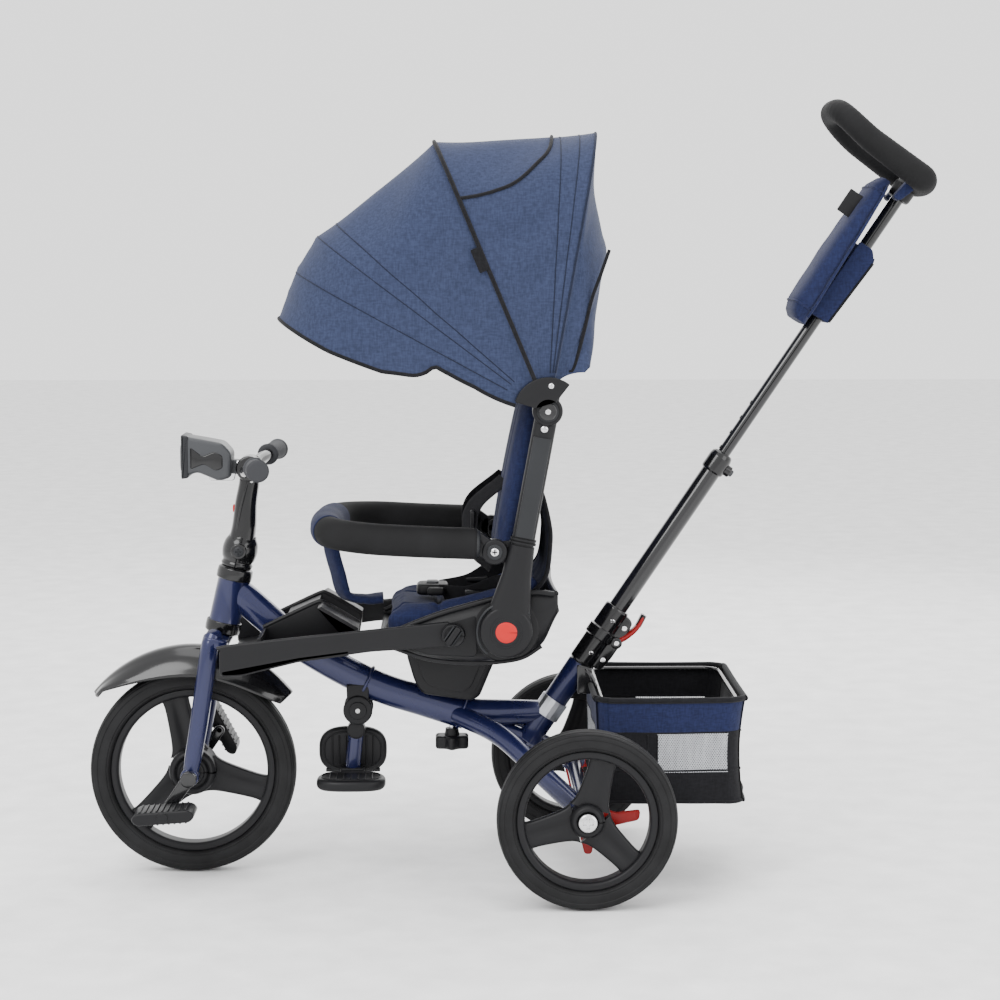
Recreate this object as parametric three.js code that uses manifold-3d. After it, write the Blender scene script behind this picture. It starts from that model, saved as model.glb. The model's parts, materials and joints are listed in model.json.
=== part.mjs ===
// A child's push tricycle: steel frame, steered front wheel with pedals, reclining seat with a
// folding canopy, and a telescopic push pole. Millimetres, +Z up, front towards -Y, the rider's
// left side towards +X. Places along Y are written from the rear axle, and the whole tricycle is
// moved at the end so that the origin is the middle of the footprint.
import * as THREE from 'three';
import { mergeVertices } from 'three/addons/utils/BufferGeometryUtils.js';
import Module from 'manifold-3d';

const wasm = await Module();
wasm.setup();

// ---- driving dimensions -------------------------------------------------------------------
const GAP = 0.3; // between parts that touch
const RUNNING_GAP = 1.5; // between parts that move past each other
const WHEELBASE = 564;
const REAR_TRACK = 456; // between the middles of the rear tyres
const FRONT_WHEEL = { radius: 150, bead: 119, open: 107, width: 44, hub: 34, hubHalf: 40 };
const REAR_WHEEL = { radius: 125, bead: 97, open: 86, width: 42, hub: 26, hubHalf: 21 };
const WHEEL_SIDES = 28;
const SPOKE = { innerWidth: 46, outerWidth: 34, thickness: 17 };
const FRONT_SPOKE_ANGLE = 104; // degrees from +Y towards +Z
const REAR_SPOKE_ANGLE = 75;
const AXLE_RADIUS = 6;

const HEAD = { y: 44.4 - WHEELBASE, z: FRONT_WHEEL.radius + 207.6, tilt: 12.9, length: 85.6, radius: 22.5,
  bore: 14 };
const STEERER_RADIUS = 12;
const HEADSET_RING = { radius: 25, half: 6 };
const BALL = { along: 118, radius: 25 };
const FORK_HALF_WIDTH = 56;
const FORK_LEG_RADIUS = 13;
const FENDER = { radius: FRONT_WHEEL.radius + 34, from: 40, to: 139, halfWidth: 39, drop: 36,
  thickness: 3 };
const CRANK = { length: 52, angle: 234, plate: 10, gap: 2 };
const PEDAL = { length: 92, width: 58, thickness: 20, pin: 5, leftTilt: 4, rightTilt: -62 };

const BAR = { y: HEAD.y + 41.6, z: HEAD.z + 234.4, radius: 9, back: 27, rise: 12, gripStart: 118,
  gripEnd: 192 };
const GRIP_RADIUS = 13;
const CLAMP = { radius: BAR.radius + 9, halfWidth: 21 };
const STEM_WIDTH = 34;
const STEM_BUTTON = { z: BAR.z - 59, radius: 6, proud: 5, travel: 3 };
const LIGHT = { rear: BAR.y - CLAMP.radius - 7, length: 68, bottom: BAR.z - 20, top: BAR.z + 46,
  halfWidth: 31 };

const MAIN_TUBE = { depth: 44, width: 38 };
const MAIN_LINE = [[HEAD.y + 14.6, HEAD.z + 56.4], [HEAD.y + 30.6, HEAD.z + 45.4], [HEAD.y + 111.6,
  HEAD.z - 23.6],
  [-306, 276], [-225, 248], [-166, 229]];
const STAY_RADIUS = 15;
const LUG = { x: REAR_TRACK / 2 - REAR_WHEEL.width / 2 - 25, halfWidth: 8, radius: 19 };

const MAST = { y: 2, z: 305, tilt: 34, socketLength: 139, socketRadius: 18, radius: 14 };
const MAST_CLAMP = { length: 98, radius: 19 };
const MAST_TOP = 345; // end of the lower tube, along the pole
const COLLAR = { below: 20, above: 17, radius: 17 };
const TUBE_WALL = 2;
const UPPER_TUBE = { radius: 9.5, insert: 95, top: 829 };
const QUICK_RELEASE = { along: 54, behind: 26, hub: 6, half: 9, ear: 3.5, tipAlong: 111, tipBehind: 37 };
const HANDLE = { along: 849, halfWidth: 62, reach: 146, rise: 9, rear: 22, front: 16.5 };
const BAG = { from: 588, to: 822, near: 13, far: 45, halfWidth: 58 };

const SEAT_HALF = 139; // half width of the seat base
const SIDE_X = 155; // middle of the backrest tubes
const RECLINE = { y: -110, z: 376, disc: 37, button: 17, stud: 11 };
const CANOPY_HINGE = { y: -53, z: 684 };
const BACK_TUBE_RADIUS = 14;
const KNOB = { y: -184, z: 370, radius: 16, shaft: 6 };
const ARM_HINGE = { y: -126, z: 488, radius: 17 };
const BAR_FOAM = { radius: 22, core: 8, frontY: -367, z: 509, startY: -150, startZ: 499 };
const STRAP_HALF = 15;

const BASKET = { halfWidth: 150, front: 16, rear: 228, bottom: 128, top: 278, wall: 4, corner: 32 };
const RIM_ROD = 4;
const FOOT_POST = { y: -323, z: 239, footY: -332, footZ: 147, radius: 11 };
const CLAMP_STUD = { y: -186, radius: 4.5, top: 284, knob: 27, knobZ: 180, knobHeight: 18 };
const FOOTPAD = { length: 100, width: 70, thickness: 18 };
const PAD_HINGE = { x: 19, bar: 3, above: 6, room: 1, block: 18 };

const CANOPY_LAYER = 2.8; // radial room between one folding layer and the next
const PANEL_THICKNESS = 3;
const BOW_RADIUS = 3;
const CANOPY_ANGLES = { rear: 79.7, middle: 112.6, front: 141.7, visor: 161.8 };
const REAR_PANEL = { halfWidth: 166, reach: 368 };
const ARCH_STEPS = 15;
const SHOULDER = 115; // round of the arch over the rider
const PIN_RADIUS = 4;
const PANEL_ROOT = 60; // the panels start this far from the hinge

// ---- colours ------------------------------------------------------------------------------
const paint = (color, roughness, metalness) => new THREE.MeshStandardMaterial({ color, roughness,
  metalness });
const bluePaint = () => paint(0x28306a, 0.25, 0.4);
const blackPlastic = () => paint(0x1b1b1e, 0.45, 0);
const blackSteel = () => paint(0x18181a, 0.3, 0.6);
const greyPlastic = () => paint(0x76787a, 0.4, 0);
const rubber = () => paint(0x1c1c1e, 0.8, 0);
const foam = () => paint(0x161617, 0.9, 0);
const navyCloth = () => paint(0x303a6c, 0.95, 0);
const canopyCloth = () => paint(0x4a6494, 0.95, 0);
const redPlastic = () => paint(0xc82d23, 0.4, 0);
const brightSteel = () => paint(0xc8c9cc, 0.25, 1);

// ---- solids -------------------------------------------------------------------------------
const radians = THREE.MathUtils.degToRad;

/** A geometry with shared corners and its faces pointing out. */
function outward(geometry) {
  const bare = geometry.clone();
  bare.deleteAttribute('normal');
  bare.deleteAttribute('uv');
  const merged = mergeVertices(bare, 1e-4);
  const p = merged.attributes.position;
  const index = merged.index.array;
  const [a, b, c] = [new THREE.Vector3(), new THREE.Vector3(), new THREE.Vector3()];
  let volume = 0;
  for (let i = 0; i < index.length; i += 3) {
    a.fromBufferAttribute(p, index[i]);
    b.fromBufferAttribute(p, index[i + 1]);
    c.fromBufferAttribute(p, index[i + 2]);
    volume += a.dot(b.cross(c));
  }
  if (volume < 0) {
    for (let i = 0; i < index.length; i += 3) {
      [index[i + 1], index[i + 2]] = [index[i + 2], index[i + 1]];
    }
  }
  return merged;
}

function toManifold(geometry) {
  const closed = outward(geometry);
  const vertProperties = new Float32Array(closed.attributes.position.array);
  const triVerts = new Uint32Array(closed.index.array);
  return new wasm.Manifold(new wasm.Mesh({ numProp: 3, vertProperties, triVerts }));
}

function fromManifold(solid) {
  const mesh = solid.getMesh();
  const geometry = new THREE.BufferGeometry();
  geometry.setAttribute('position', new THREE.BufferAttribute(mesh.vertProperties, 3));
  geometry.setIndex(new THREE.BufferAttribute(mesh.triVerts, 1));
  return geometry;
}

const join = (...parts) => fromManifold(parts.map(toManifold).reduce((all, one) => all.add(one)));
const cut = (part, ...tools) => fromManifold(
  tools.map(toManifold).reduce((rest, tool) => rest.subtract(tool), toManifold(part)));

const v3 = (x, y, z) => new THREE.Vector3(x, y, z);

/** A round bar, or a cone, from one point to another. */
function rod(from, to, radius, endRadius = radius, sides = 10) {
  const axis = to.clone().sub(from);
  const bar = new THREE.CylinderGeometry(endRadius, radius, axis.length(), sides);
  const turn = new THREE.Quaternion().setFromUnitVectors(v3(0, 1, 0), axis.clone().normalize());
  bar.applyQuaternion(turn);
  const middle = from.clone().add(to).multiplyScalar(0.5);
  return bar.translate(middle.x, middle.y, middle.z);
}

/** A round bar along X at one height and depth. */
const crossRod = (x0, x1, y, z, radius, sides = 12) => rod(v3(x0, y, z), v3(x1, y, z), radius, radius,
  sides);

const ball = (centre, radius, sides = 10) =>
  new THREE.SphereGeometry(radius, sides, sides / 2).translate(centre.x, centre.y, centre.z);

/** An outline in the Y-Z plane carried along X from x0 to x1. */
function slab(outline, x0, x1, bevel = 0) {
  const shape = new THREE.Shape(outline.map(([y, z]) => new THREE.Vector2(y, z)));
  const options = { depth: x1 - x0 - 2 * bevel, bevelEnabled: bevel > 0, bevelThickness: bevel,
    bevelSize: bevel, bevelOffset: -bevel, bevelSegments: 1, curveSegments: 6 };
  const plate = new THREE.ExtrudeGeometry(shape, options);
  const turn = new THREE.Matrix4().makeBasis(v3(0, 1, 0), v3(0, 0, 1), v3(1, 0, 0));
  return plate.applyMatrix4(turn).translate(x0 + bevel, 0, 0);
}

/** A box between two corners. */
function block(x0, x1, y0, y1, z0, z1) {
  const box = new THREE.BoxGeometry(x1 - x0, y1 - y0, z1 - z0);
  return box.translate((x0 + x1) / 2, (y0 + y1) / 2, (z0 + z1) / 2);
}

/** A rounded rectangle outline. */
function roundedRect(width, height, corner, steps = 3) {
  const shape = new THREE.Shape();
  const [w, h] = [width / 2 - corner, height / 2 - corner];
  shape.absarc(w, h, corner, 0, Math.PI / 2);
  shape.absarc(-w, h, corner, Math.PI / 2, Math.PI);
  shape.absarc(-w, -h, corner, Math.PI, 1.5 * Math.PI);
  shape.absarc(w, -h, corner, 1.5 * Math.PI, 2 * Math.PI);
  return new THREE.Shape(dropRepeats(shape.getPoints(steps)));
}

function dropRepeats(points) {
  return points.filter((p, i) => p.distanceTo(points[(i + 1) % points.length]) > 1e-6);
}

/** A many-sided ring outline. */
function disc(radius, sides) {
  const points = [];
  for (let i = 0; i < sides; i += 1) {
    const a = (2 * Math.PI * i) / sides;
    points.push(new THREE.Vector2(radius * Math.cos(a), radius * Math.sin(a)));
  }
  return new THREE.Shape(points);
}

/** A section carried along a smooth path through points. */
function sweep(points, section, steps) {
  const path = new THREE.CatmullRomCurve3(points, false, 'centripetal');
  return new THREE.ExtrudeGeometry(section, { steps, bevelEnabled: false, extrudePath: path,
    curveSegments: 6 });
}

/** A profile of [radius, place along X] pairs turned about X, its flats touching the true radius. */
function turned(profile, sides, x = 0, y = 0, z = 0) {
  const flat = 1 / Math.cos(Math.PI / sides);
  const points = profile.map(([r, along]) => new THREE.Vector2(r * flat, along));
  const lathe = new THREE.LatheGeometry(points, sides, Math.PI / sides);
  return lathe.rotateZ(-Math.PI / 2).translate(x, y, z);
}

/** A profile of [radius, height] pairs turned about Z. */
function spun(profile, sides) {
  const points = profile.map(([r, along]) => new THREE.Vector2(r, along));
  return new THREE.LatheGeometry(points, sides).rotateX(Math.PI / 2);
}

/** An even sheet as one closed solid: two skins joined round their edges. */
function sheetSolid(place, across, along) {
  const positions = [];
  const index = [];
  const at = (side, i, j) => (side * (along + 1) + j) * (across + 1) + i;
  const quad = (a, b, c, d) => index.push(a, b, c, a, c, d);
  for (const side of [0, 1]) {
    for (let j = 0; j <= along; j += 1) {
      for (let i = 0; i <= across; i += 1) positions.push(...place(i / across, j / along, side).toArray());
    }
  }
  for (let j = 0; j < along; j += 1) {
    for (let i = 0; i < across; i += 1) {
      quad(at(0, i, j), at(0, i + 1, j), at(0, i + 1, j + 1), at(0, i, j + 1));
      quad(at(1, i, j), at(1, i, j + 1), at(1, i + 1, j + 1), at(1, i + 1, j));
    }
    quad(at(0, 0, j), at(0, 0, j + 1), at(1, 0, j + 1), at(1, 0, j));
    quad(at(0, across, j), at(1, across, j), at(1, across, j + 1), at(0, across, j + 1));
  }
  for (let i = 0; i < across; i += 1) {
    quad(at(0, i, 0), at(1, i, 0), at(1, i + 1, 0), at(0, i + 1, 0));
    quad(at(0, i, along), at(0, i + 1, along), at(1, i + 1, along), at(1, i, along));
  }
  const geometry = new THREE.BufferGeometry();
  geometry.setAttribute('position', new THREE.Float32BufferAttribute(positions, 3));
  geometry.setIndex(index);
  return geometry;
}

/** A round bar round a closed loop that lies flat. */
function flatHoop(points, radius, barSides) {
  const positions = [];
  const index = [];
  const count = points.length;
  points.forEach((point, i) => {
    const ahead = points[(i + 1) % count].clone().sub(points[(i + count - 1) % count]).normalize();
    for (let j = 0; j < barSides; j += 1) {
      const a = (2 * Math.PI * j) / barSides;
      const [out, up] = [radius * Math.cos(a), radius * Math.sin(a)];
      positions.push(point.x + ahead.y * out, point.y - ahead.x * out, point.z + up);
      const [here, beside] = [i * barSides + j, i * barSides + (j + 1) % barSides];
      const [next, far] = [here, beside].map((k) => (k + barSides) % (count * barSides));
      index.push(here, next, far, here, far, beside);
    }
  });
  const geometry = new THREE.BufferGeometry();
  geometry.setAttribute('position', new THREE.Float32BufferAttribute(positions, 3));
  geometry.setIndex(index);
  return geometry;
}

// ---- the assembly -------------------------------------------------------------------------
const tricycle = new THREE.Group();

function add(name, geometry, material, parent = tricycle) {
  const mesh = new THREE.Mesh(outward(geometry), material);
  mesh.name = name;
  parent.add(mesh);
  return mesh;
}

/** A frame whose Z runs along a line leaning back by some degrees from the vertical. */
function leaningGroup(y, z, tilt) {
  const group = new THREE.Group();
  group.position.set(0, y, z);
  group.rotation.x = -radians(tilt);
  group.updateMatrixWorld();
  tricycle.add(group);
  return group;
}

const head = leaningGroup(HEAD.y, HEAD.z, HEAD.tilt);
const mast = leaningGroup(MAST.y, MAST.z, MAST.tilt);
const frontAxle = v3(0, -WHEELBASE, FRONT_WHEEL.radius);
const rearAxle = v3(0, 0, REAR_WHEEL.radius);
const inHead = (point) => head.worldToLocal(point.clone());
const fromGroup = (group, x, y, z) => group.localToWorld(v3(x, y, z));

// ---- wheels -------------------------------------------------------------------------------
function tyre(wheel) {
  const { radius, bead, width } = wheel;
  const half = width / 2;
  return turned([[bead, -0.36 * width], [bead + 5, -half], [radius - 12, -half],
    [radius, -0.26 * width], [radius, 0.26 * width], [radius - 12, half],
    [bead + 5, half], [bead, 0.36 * width], [bead, -0.36 * width]], WHEEL_SIDES);
}

/** The moulded wheel: rim, three broad spokes and a hub bored for the axle. */
function rim(wheel, angle, bore) {
  const half = 0.36 * wheel.width;
  const seat = wheel.bead - GAP;
  const ring = turned([[wheel.open, -half], [seat, -half], [seat, half], [wheel.open, half],
    [wheel.open, -half]], WHEEL_SIDES);
  const hub = crossRod(-wheel.hubHalf, wheel.hubHalf, 0, 0, wheel.hub, 24);
  const reach = (wheel.open + seat) / 2;
  const spoke = [[0, -SPOKE.innerWidth / 2], [reach, -SPOKE.outerWidth / 2], [reach, SPOKE.outerWidth / 2],
    [0, SPOKE.innerWidth / 2]];
  const spokes = [0, 120, 240].map((turn) => slab(spoke, -SPOKE.thickness / 2, SPOKE.thickness / 2)
    .rotateX(radians(angle + turn)));
  const bored = crossRod(-2 * wheel.hubHalf, 2 * wheel.hubHalf, 0, 0, bore, 16);
  return cut(join(ring, hub, ...spokes), bored);
}

function placeAt(mesh, point) {
  mesh.position.copy(point);
  return mesh;
}

placeAt(add('front_tyre', tyre(FRONT_WHEEL), rubber()), frontAxle);
placeAt(add('front_rim', rim(FRONT_WHEEL, FRONT_SPOKE_ANGLE, AXLE_RADIUS + GAP), blackPlastic()),
  frontAxle);

const sides = [['left', 1], ['right', -1]];
const hubFace = REAR_TRACK / 2 + REAR_WHEEL.hubHalf;
for (const [side, sign] of sides) {
  const centre = v3(sign * REAR_TRACK / 2, rearAxle.y, rearAxle.z);
  placeAt(add(`rear_tyre_${side}`, tyre(REAR_WHEEL), rubber()), centre);
  placeAt(add(`rear_rim_${side}`, rim(REAR_WHEEL, REAR_SPOKE_ANGLE, AXLE_RADIUS + GAP), blackPlastic()),
    centre);
  const head0 = sign * (hubFace + RUNNING_GAP);
  add(`wheel_bolt_${side}`, crossRod(head0, head0 + sign * 6, rearAxle.y, rearAxle.z, 13.5, 20),
    brightSteel());
}
const axleEnd = hubFace + RUNNING_GAP - GAP;
add('rear_axle', crossRod(-axleEnd, axleEnd, rearAxle.y, rearAxle.z, AXLE_RADIUS, 16), brightSteel());

// ---- cranks and pedals --------------------------------------------------------------------
const legOuter = FORK_HALF_WIDTH + FORK_LEG_RADIUS;
const crankInner = legOuter + CRANK.gap;
const crankOuter = crankInner + CRANK.plate;
const pedalInner = crankOuter + CRANK.gap;
const pinEnd = pedalInner + PEDAL.width + CRANK.gap;
const crankParts = [crossRod(-crankOuter, crankOuter, frontAxle.y, frontAxle.z, AXLE_RADIUS, 16)];
for (const [side, sign] of sides) {
  const angle = radians(CRANK.angle + (sign > 0 ? 0 : 180));
  const pinY = frontAxle.y + CRANK.length * Math.cos(angle);
  const pinZ = frontAxle.z + CRANK.length * Math.sin(angle);
  const arm = slab([[0, -8], [CRANK.length, -7], [CRANK.length, 7], [0, 8]], 0, CRANK.plate).rotateX(angle);
  arm.translate(sign > 0 ? crankInner : -crankOuter, frontAxle.y, frontAxle.z);
  crankParts.push(arm, crossRod(sign * crankInner, sign * crankOuter, frontAxle.y, frontAxle.z, 11));
  crankParts.push(crossRod(sign * crankInner, sign * pinEnd, pinY, pinZ, PEDAL.pin, 12));
  const tread = slab([[-PEDAL.length / 2, 0], [-PEDAL.length / 2 + 9, -PEDAL.thickness / 2],
    [PEDAL.length / 2 - 9, -PEDAL.thickness / 2], [PEDAL.length / 2, 0],
    [PEDAL.length / 2 - 9, PEDAL.thickness / 2], [-PEDAL.length / 2 + 9, PEDAL.thickness / 2]],
  -PEDAL.width / 2, PEDAL.width / 2);
  const bore = crossRod(-PEDAL.width, PEDAL.width, 0, 0, PEDAL.pin + GAP, 12);
  const pedal = add(`pedal_${side}`, cut(tread, bore), blackPlastic());
  pedal.position.set(sign * (pedalInner + PEDAL.width / 2), pinY, pinZ);
  pedal.rotation.x = radians(sign > 0 ? PEDAL.leftTilt : PEDAL.rightTilt);
}
add('crankshaft', join(...crankParts), blackSteel());

// ---- fork, fender and steering ------------------------------------------------------------
const axleInHead = inHead(frontAxle);
const crownZ = -HEADSET_RING.half - GAP;
const legTop = v3(FORK_HALF_WIDTH, -9, -18);
const forkParts = [
  rod(v3(0, 0, -17), v3(0, 0, BALL.along - 12 - GAP), STEERER_RADIUS, STEERER_RADIUS, 14),
  block(-legOuter + 2, legOuter - 2, -21, 15, -22, crownZ),
];
for (const [, sign] of sides) {
  const top = v3(sign * legTop.x, legTop.y, legTop.z);
  const foot = v3(sign * FORK_HALF_WIDTH, axleInHead.y, axleInHead.z);
  forkParts.push(rod(foot, top, FORK_LEG_RADIUS, FORK_LEG_RADIUS, 16), ball(top, FORK_LEG_RADIUS));
  forkParts.push(crossRod(foot.x - FORK_LEG_RADIUS, foot.x + FORK_LEG_RADIUS, foot.y, foot.z, 17));
}
const axleBore = crossRod(-2 * legOuter, 2 * legOuter, axleInHead.y, axleInHead.z, AXLE_RADIUS + GAP, 16);
add('fork', cut(join(...forkParts), axleBore), bluePaint(), head);

/** The mudguard: a crowned strip that follows the front tyre. */
function fender() {
  const { radius, from, to, halfWidth, drop, thickness } = FENDER;
  return sheetSolid((u, v, side) => {
    const angle = radians(from + (to - from) * u);
    const across = 2 * v - 1;
    const r = radius - drop * Math.abs(across) ** 2.4 - side * thickness;
    const x = across * (halfWidth - side * thickness * Math.abs(across) ** 3);
    return v3(x, frontAxle.y + r * Math.cos(angle), frontAxle.z + r * Math.sin(angle));
  }, 12, 6);
}
const crownTool = block(-legOuter, legOuter, -40, 40, -22 - GAP, 0)
  .rotateX(-radians(HEAD.tilt)).translate(0, HEAD.y, HEAD.z);
add('front_fender', cut(fender(), crownTool), blackPlastic());

const ring = [[STEERER_RADIUS + GAP, -HEADSET_RING.half], [HEADSET_RING.radius, -HEADSET_RING.half],
  [HEADSET_RING.radius, HEADSET_RING.half], [STEERER_RADIUS + GAP, HEADSET_RING.half],
  [STEERER_RADIUS + GAP, -HEADSET_RING.half]];
add('headset_lower', spun(ring, 18), blackPlastic(), head);
add('headset_upper', spun(ring, 18), blackPlastic(), head).position.z = HEAD.length;

const ballCentre = v3(0, 0, BALL.along);
const steererBore = rod(v3(0, 0, 0), v3(0, 0, BALL.along - 12), STEERER_RADIUS + GAP,
  STEERER_RADIUS + GAP, 14);
const ballFoot = block(-50, 50, -50, 50, 0, HEAD.length + HEADSET_RING.half + GAP);
add('steering_ball', cut(ball(ballCentre, BALL.radius, 16), steererBore, ballFoot), blackPlastic(), head);

const stemBody = slab([[BAR.y - 29, BAR.z - 108], [BAR.y + 6, BAR.z - 112], [BAR.y + 14, BAR.z - 60],
  [BAR.y + 15, BAR.z], [BAR.y - 14, BAR.z], [BAR.y - 15, BAR.z - 40], [BAR.y - 21, BAR.z - 66]],
-STEM_WIDTH / 2, STEM_WIDTH / 2, 3);
const clampBody = crossRod(-CLAMP.halfWidth, CLAMP.halfWidth, BAR.y, BAR.z, CLAMP.radius, 18);
const barHalf = [v3(0, BAR.y, BAR.z), v3(62, BAR.y, BAR.z), v3(BAR.gripStart, BAR.y + BAR.back - 11,
  BAR.z + BAR.rise - 3),
  v3(BAR.gripEnd, BAR.y + BAR.back, BAR.z + BAR.rise)];
const mirrored = (points) => points.map((p) => v3(-p.x, p.y, p.z));
const barLine = [...mirrored(barHalf).reverse(), ...barHalf.slice(1)];
const barSweep = (grow) => sweep(barLine, disc(BAR.radius + grow, 8), 12);
const buttonFace = BAR.y - 19;
const buttonDepth = 4 + STEM_BUTTON.travel + 2;
const buttonPocket = rod(v3(0, buttonFace - 20, STEM_BUTTON.z), v3(0, buttonFace + buttonDepth,
  STEM_BUTTON.z),
  STEM_BUTTON.radius + GAP);
const ballTool = ball(ballCentre, BALL.radius + GAP, 16).applyMatrix4(head.matrixWorld);
add('stem', cut(join(stemBody, clampBody), barSweep(GAP), buttonPocket, ballTool), blackPlastic());
add('stem_button', rod(v3(0, buttonFace - STEM_BUTTON.proud, STEM_BUTTON.z),
  v3(0, buttonFace + 4, STEM_BUTTON.z), STEM_BUTTON.radius), redPlastic());

add('handlebar', barSweep(0), blackSteel());
for (const [side, sign] of sides) {
  const [, , start, end] = sign > 0 ? barHalf : mirrored(barHalf);
  const along = end.clone().sub(start).normalize();
  const outer = rod(start.clone().addScaledVector(along, 4), end.clone().addScaledVector(along, 5),
    GRIP_RADIUS, GRIP_RADIUS + 1.5);
  const endRoom = rod(end.clone().addScaledVector(along, -3), end.clone().addScaledVector(along, GAP),
    BAR.radius);
  add(`grip_${side}`, cut(outer, barSweep(GAP), endRoom), greyPlastic());
}

const lightFront = LIGHT.rear - LIGHT.length;
const lightSide = [[lightFront, LIGHT.bottom + 8], [lightFront + 20, LIGHT.bottom + 14],
  [LIGHT.rear - 12, LIGHT.bottom], [LIGHT.rear, LIGHT.bottom + 8], [LIGHT.rear, LIGHT.top - 22],
  [LIGHT.rear - 12, LIGHT.top - 8], [lightFront + 24, LIGHT.top - 4], [lightFront, LIGHT.top]];
const lightArm = block(-11, 11, LIGHT.rear - 10, BAR.y, BAR.z - 9, BAR.z + 9);
const clampTool = crossRod(-40, 40, BAR.y, BAR.z, CLAMP.radius + GAP, 18);
add('light_unit', cut(join(slab(lightSide, -LIGHT.halfWidth, LIGHT.halfWidth, 5), lightArm), clampTool),
  greyPlastic());

// ---- main frame ---------------------------------------------------------------------------
const mainPath = MAIN_LINE.map(([y, z]) => v3(0, y, z));
const [jointY, jointZ] = MAIN_LINE[MAIN_LINE.length - 1];
const socketFoot = fromGroup(mast, 0, 0, -MAST.socketLength);

/** Everything welded into the frame, as closed solids, grown all round for a neighbour's cut. */
function frameTubes(grow = 0) {
  const section = roundedRect(MAIN_TUBE.depth + 2 * grow, MAIN_TUBE.width + 2 * grow, 9, 2);
  const tubes = [sweep(mainPath, section, 9),
    rod(fromGroup(head, 0, 0, HEADSET_RING.half + GAP), fromGroup(head, 0, 0,
      HEAD.length - HEADSET_RING.half - GAP),
      HEAD.radius + grow, HEAD.radius + grow, 18),
    rod(socketFoot, fromGroup(mast, 0, 0, 0), MAST.socketRadius + grow, MAST.socketRadius + grow, 18),
    rod(v3(0, jointY - 2, jointZ + 2), fromGroup(mast, 0, 0, -88), 21 + grow, 17 + grow, 12),
    rod(v3(0, jointY + 6, jointZ - 8), socketFoot, 15 + grow, 15 + grow, 12),
    crossRod(-LUG.x, LUG.x, rearAxle.y, rearAxle.z, 11 + grow)];
  for (const [, sign] of sides) {
    const route = [v3(sign * 6, jointY - 14, jointZ + 2), v3(sign * 60, jointY + 52, jointZ - 22),
      v3(sign * (LUG.x - 52), jointY + 116, jointZ - 70), v3(sign * (LUG.x - 5), rearAxle.y - 8,
        rearAxle.z + 3)];
    tubes.push(sweep(route, disc(STAY_RADIUS + grow, 10), 7));
    tubes.push(crossRod(sign * (LUG.x - LUG.halfWidth), sign * (LUG.x + LUG.halfWidth), rearAxle.y,
      rearAxle.z,
      LUG.radius));
  }
  return join(...tubes);
}
const headBore = rod(fromGroup(head, 0, 0, -20), fromGroup(head, 0, 0, HEAD.length + 20), HEAD.bore,
  HEAD.bore, 14);
const socketBore = rod(fromGroup(mast, 0, 0, 10 - MAST.socketLength), fromGroup(mast, 0, 0, 10),
  MAST.radius + GAP, MAST.radius + GAP, 16);
const rearBore = crossRod(-300, 300, rearAxle.y, rearAxle.z, AXLE_RADIUS + GAP);
const studBore = rod(v3(0, CLAMP_STUD.y, 100), v3(0, CLAMP_STUD.y, CLAMP_STUD.top + 2),
  CLAMP_STUD.radius + GAP, CLAMP_STUD.radius + GAP);
add('main_frame', cut(frameTubes(), headBore, socketBore, rearBore, studBore), bluePaint());

const sleeve = [[MAST.socketRadius + GAP, -93], [MAST.socketRadius + 2.3, -93], [MAST.socketRadius + 2.3,
  -65],
  [MAST.socketRadius + GAP, -65], [MAST.socketRadius + GAP, -93]];
const frameTool = frameTubes(GAP);
const frameInMast = frameTool.clone().applyMatrix4(mast.matrixWorld.clone().invert());
add('reflector_sleeve', cut(spun(sleeve, 18), frameInMast), brightSteel(), mast);

// ---- seat clamp, footrest and brakes ------------------------------------------------------
const star = new THREE.Shape();
const LOBES = 6;
for (let i = 0; i < LOBES * 4; i += 1) {
  const a = (2 * Math.PI * i) / (LOBES * 4);
  const r = CLAMP_STUD.knob * (0.89 + 0.11 * Math.cos(LOBES * a));
  const move = i === 0 ? 'moveTo' : 'lineTo';
  star[move](r * Math.cos(a), r * Math.sin(a));
}
const knobHead = new THREE.ExtrudeGeometry(star, { depth: CLAMP_STUD.knobHeight, bevelEnabled: false })
  .translate(0, CLAMP_STUD.y, CLAMP_STUD.knobZ);
const stud = rod(v3(0, CLAMP_STUD.y, CLAMP_STUD.knobZ + 4), v3(0, CLAMP_STUD.y, CLAMP_STUD.top),
  CLAMP_STUD.radius, CLAMP_STUD.radius, 12);
const knobNeck = rod(v3(0, CLAMP_STUD.y, CLAMP_STUD.knobZ + 4), v3(0, CLAMP_STUD.y, 207), 11, 9, 16);
add('seat_clamp_knob', join(knobHead, stud, knobNeck), blackPlastic());

const footPivot = v3(0, FOOT_POST.y, FOOT_POST.z);
const bracketSide = [[FOOT_POST.y - 22, FOOT_POST.z + 38], [FOOT_POST.y - 16, FOOT_POST.z - 8],
  [FOOT_POST.y + 16, FOOT_POST.z - 8], [FOOT_POST.y + 22, FOOT_POST.z + 38]];
const forkSlot = block(-FOOT_POST.radius - RUNNING_GAP, FOOT_POST.radius + RUNNING_GAP, FOOT_POST.y - 60,
  FOOT_POST.y + 60, FOOT_POST.z - 60, FOOT_POST.z + FOOT_POST.radius + 3);
const pinBore = crossRod(-60, 60, FOOT_POST.y, FOOT_POST.z, 5 + GAP, 12);
const footBracket = cut(slab(bracketSide, -19, 19), forkSlot, pinBore, frameTool);
add('footrest_bracket', footBracket, blackPlastic());
const padHingeZ = FOOT_POST.footZ - 4;
const footBlock = block(-12, 12, FOOT_POST.footY - PAD_HINGE.block, FOOT_POST.footY + PAD_HINGE.block,
  padHingeZ - 9, padHingeZ + 9);
const footArm = block(-PAD_HINGE.x, PAD_HINGE.x, FOOT_POST.footY - 12, FOOT_POST.footY + 12,
  padHingeZ - 3, padHingeZ + 3);
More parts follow.
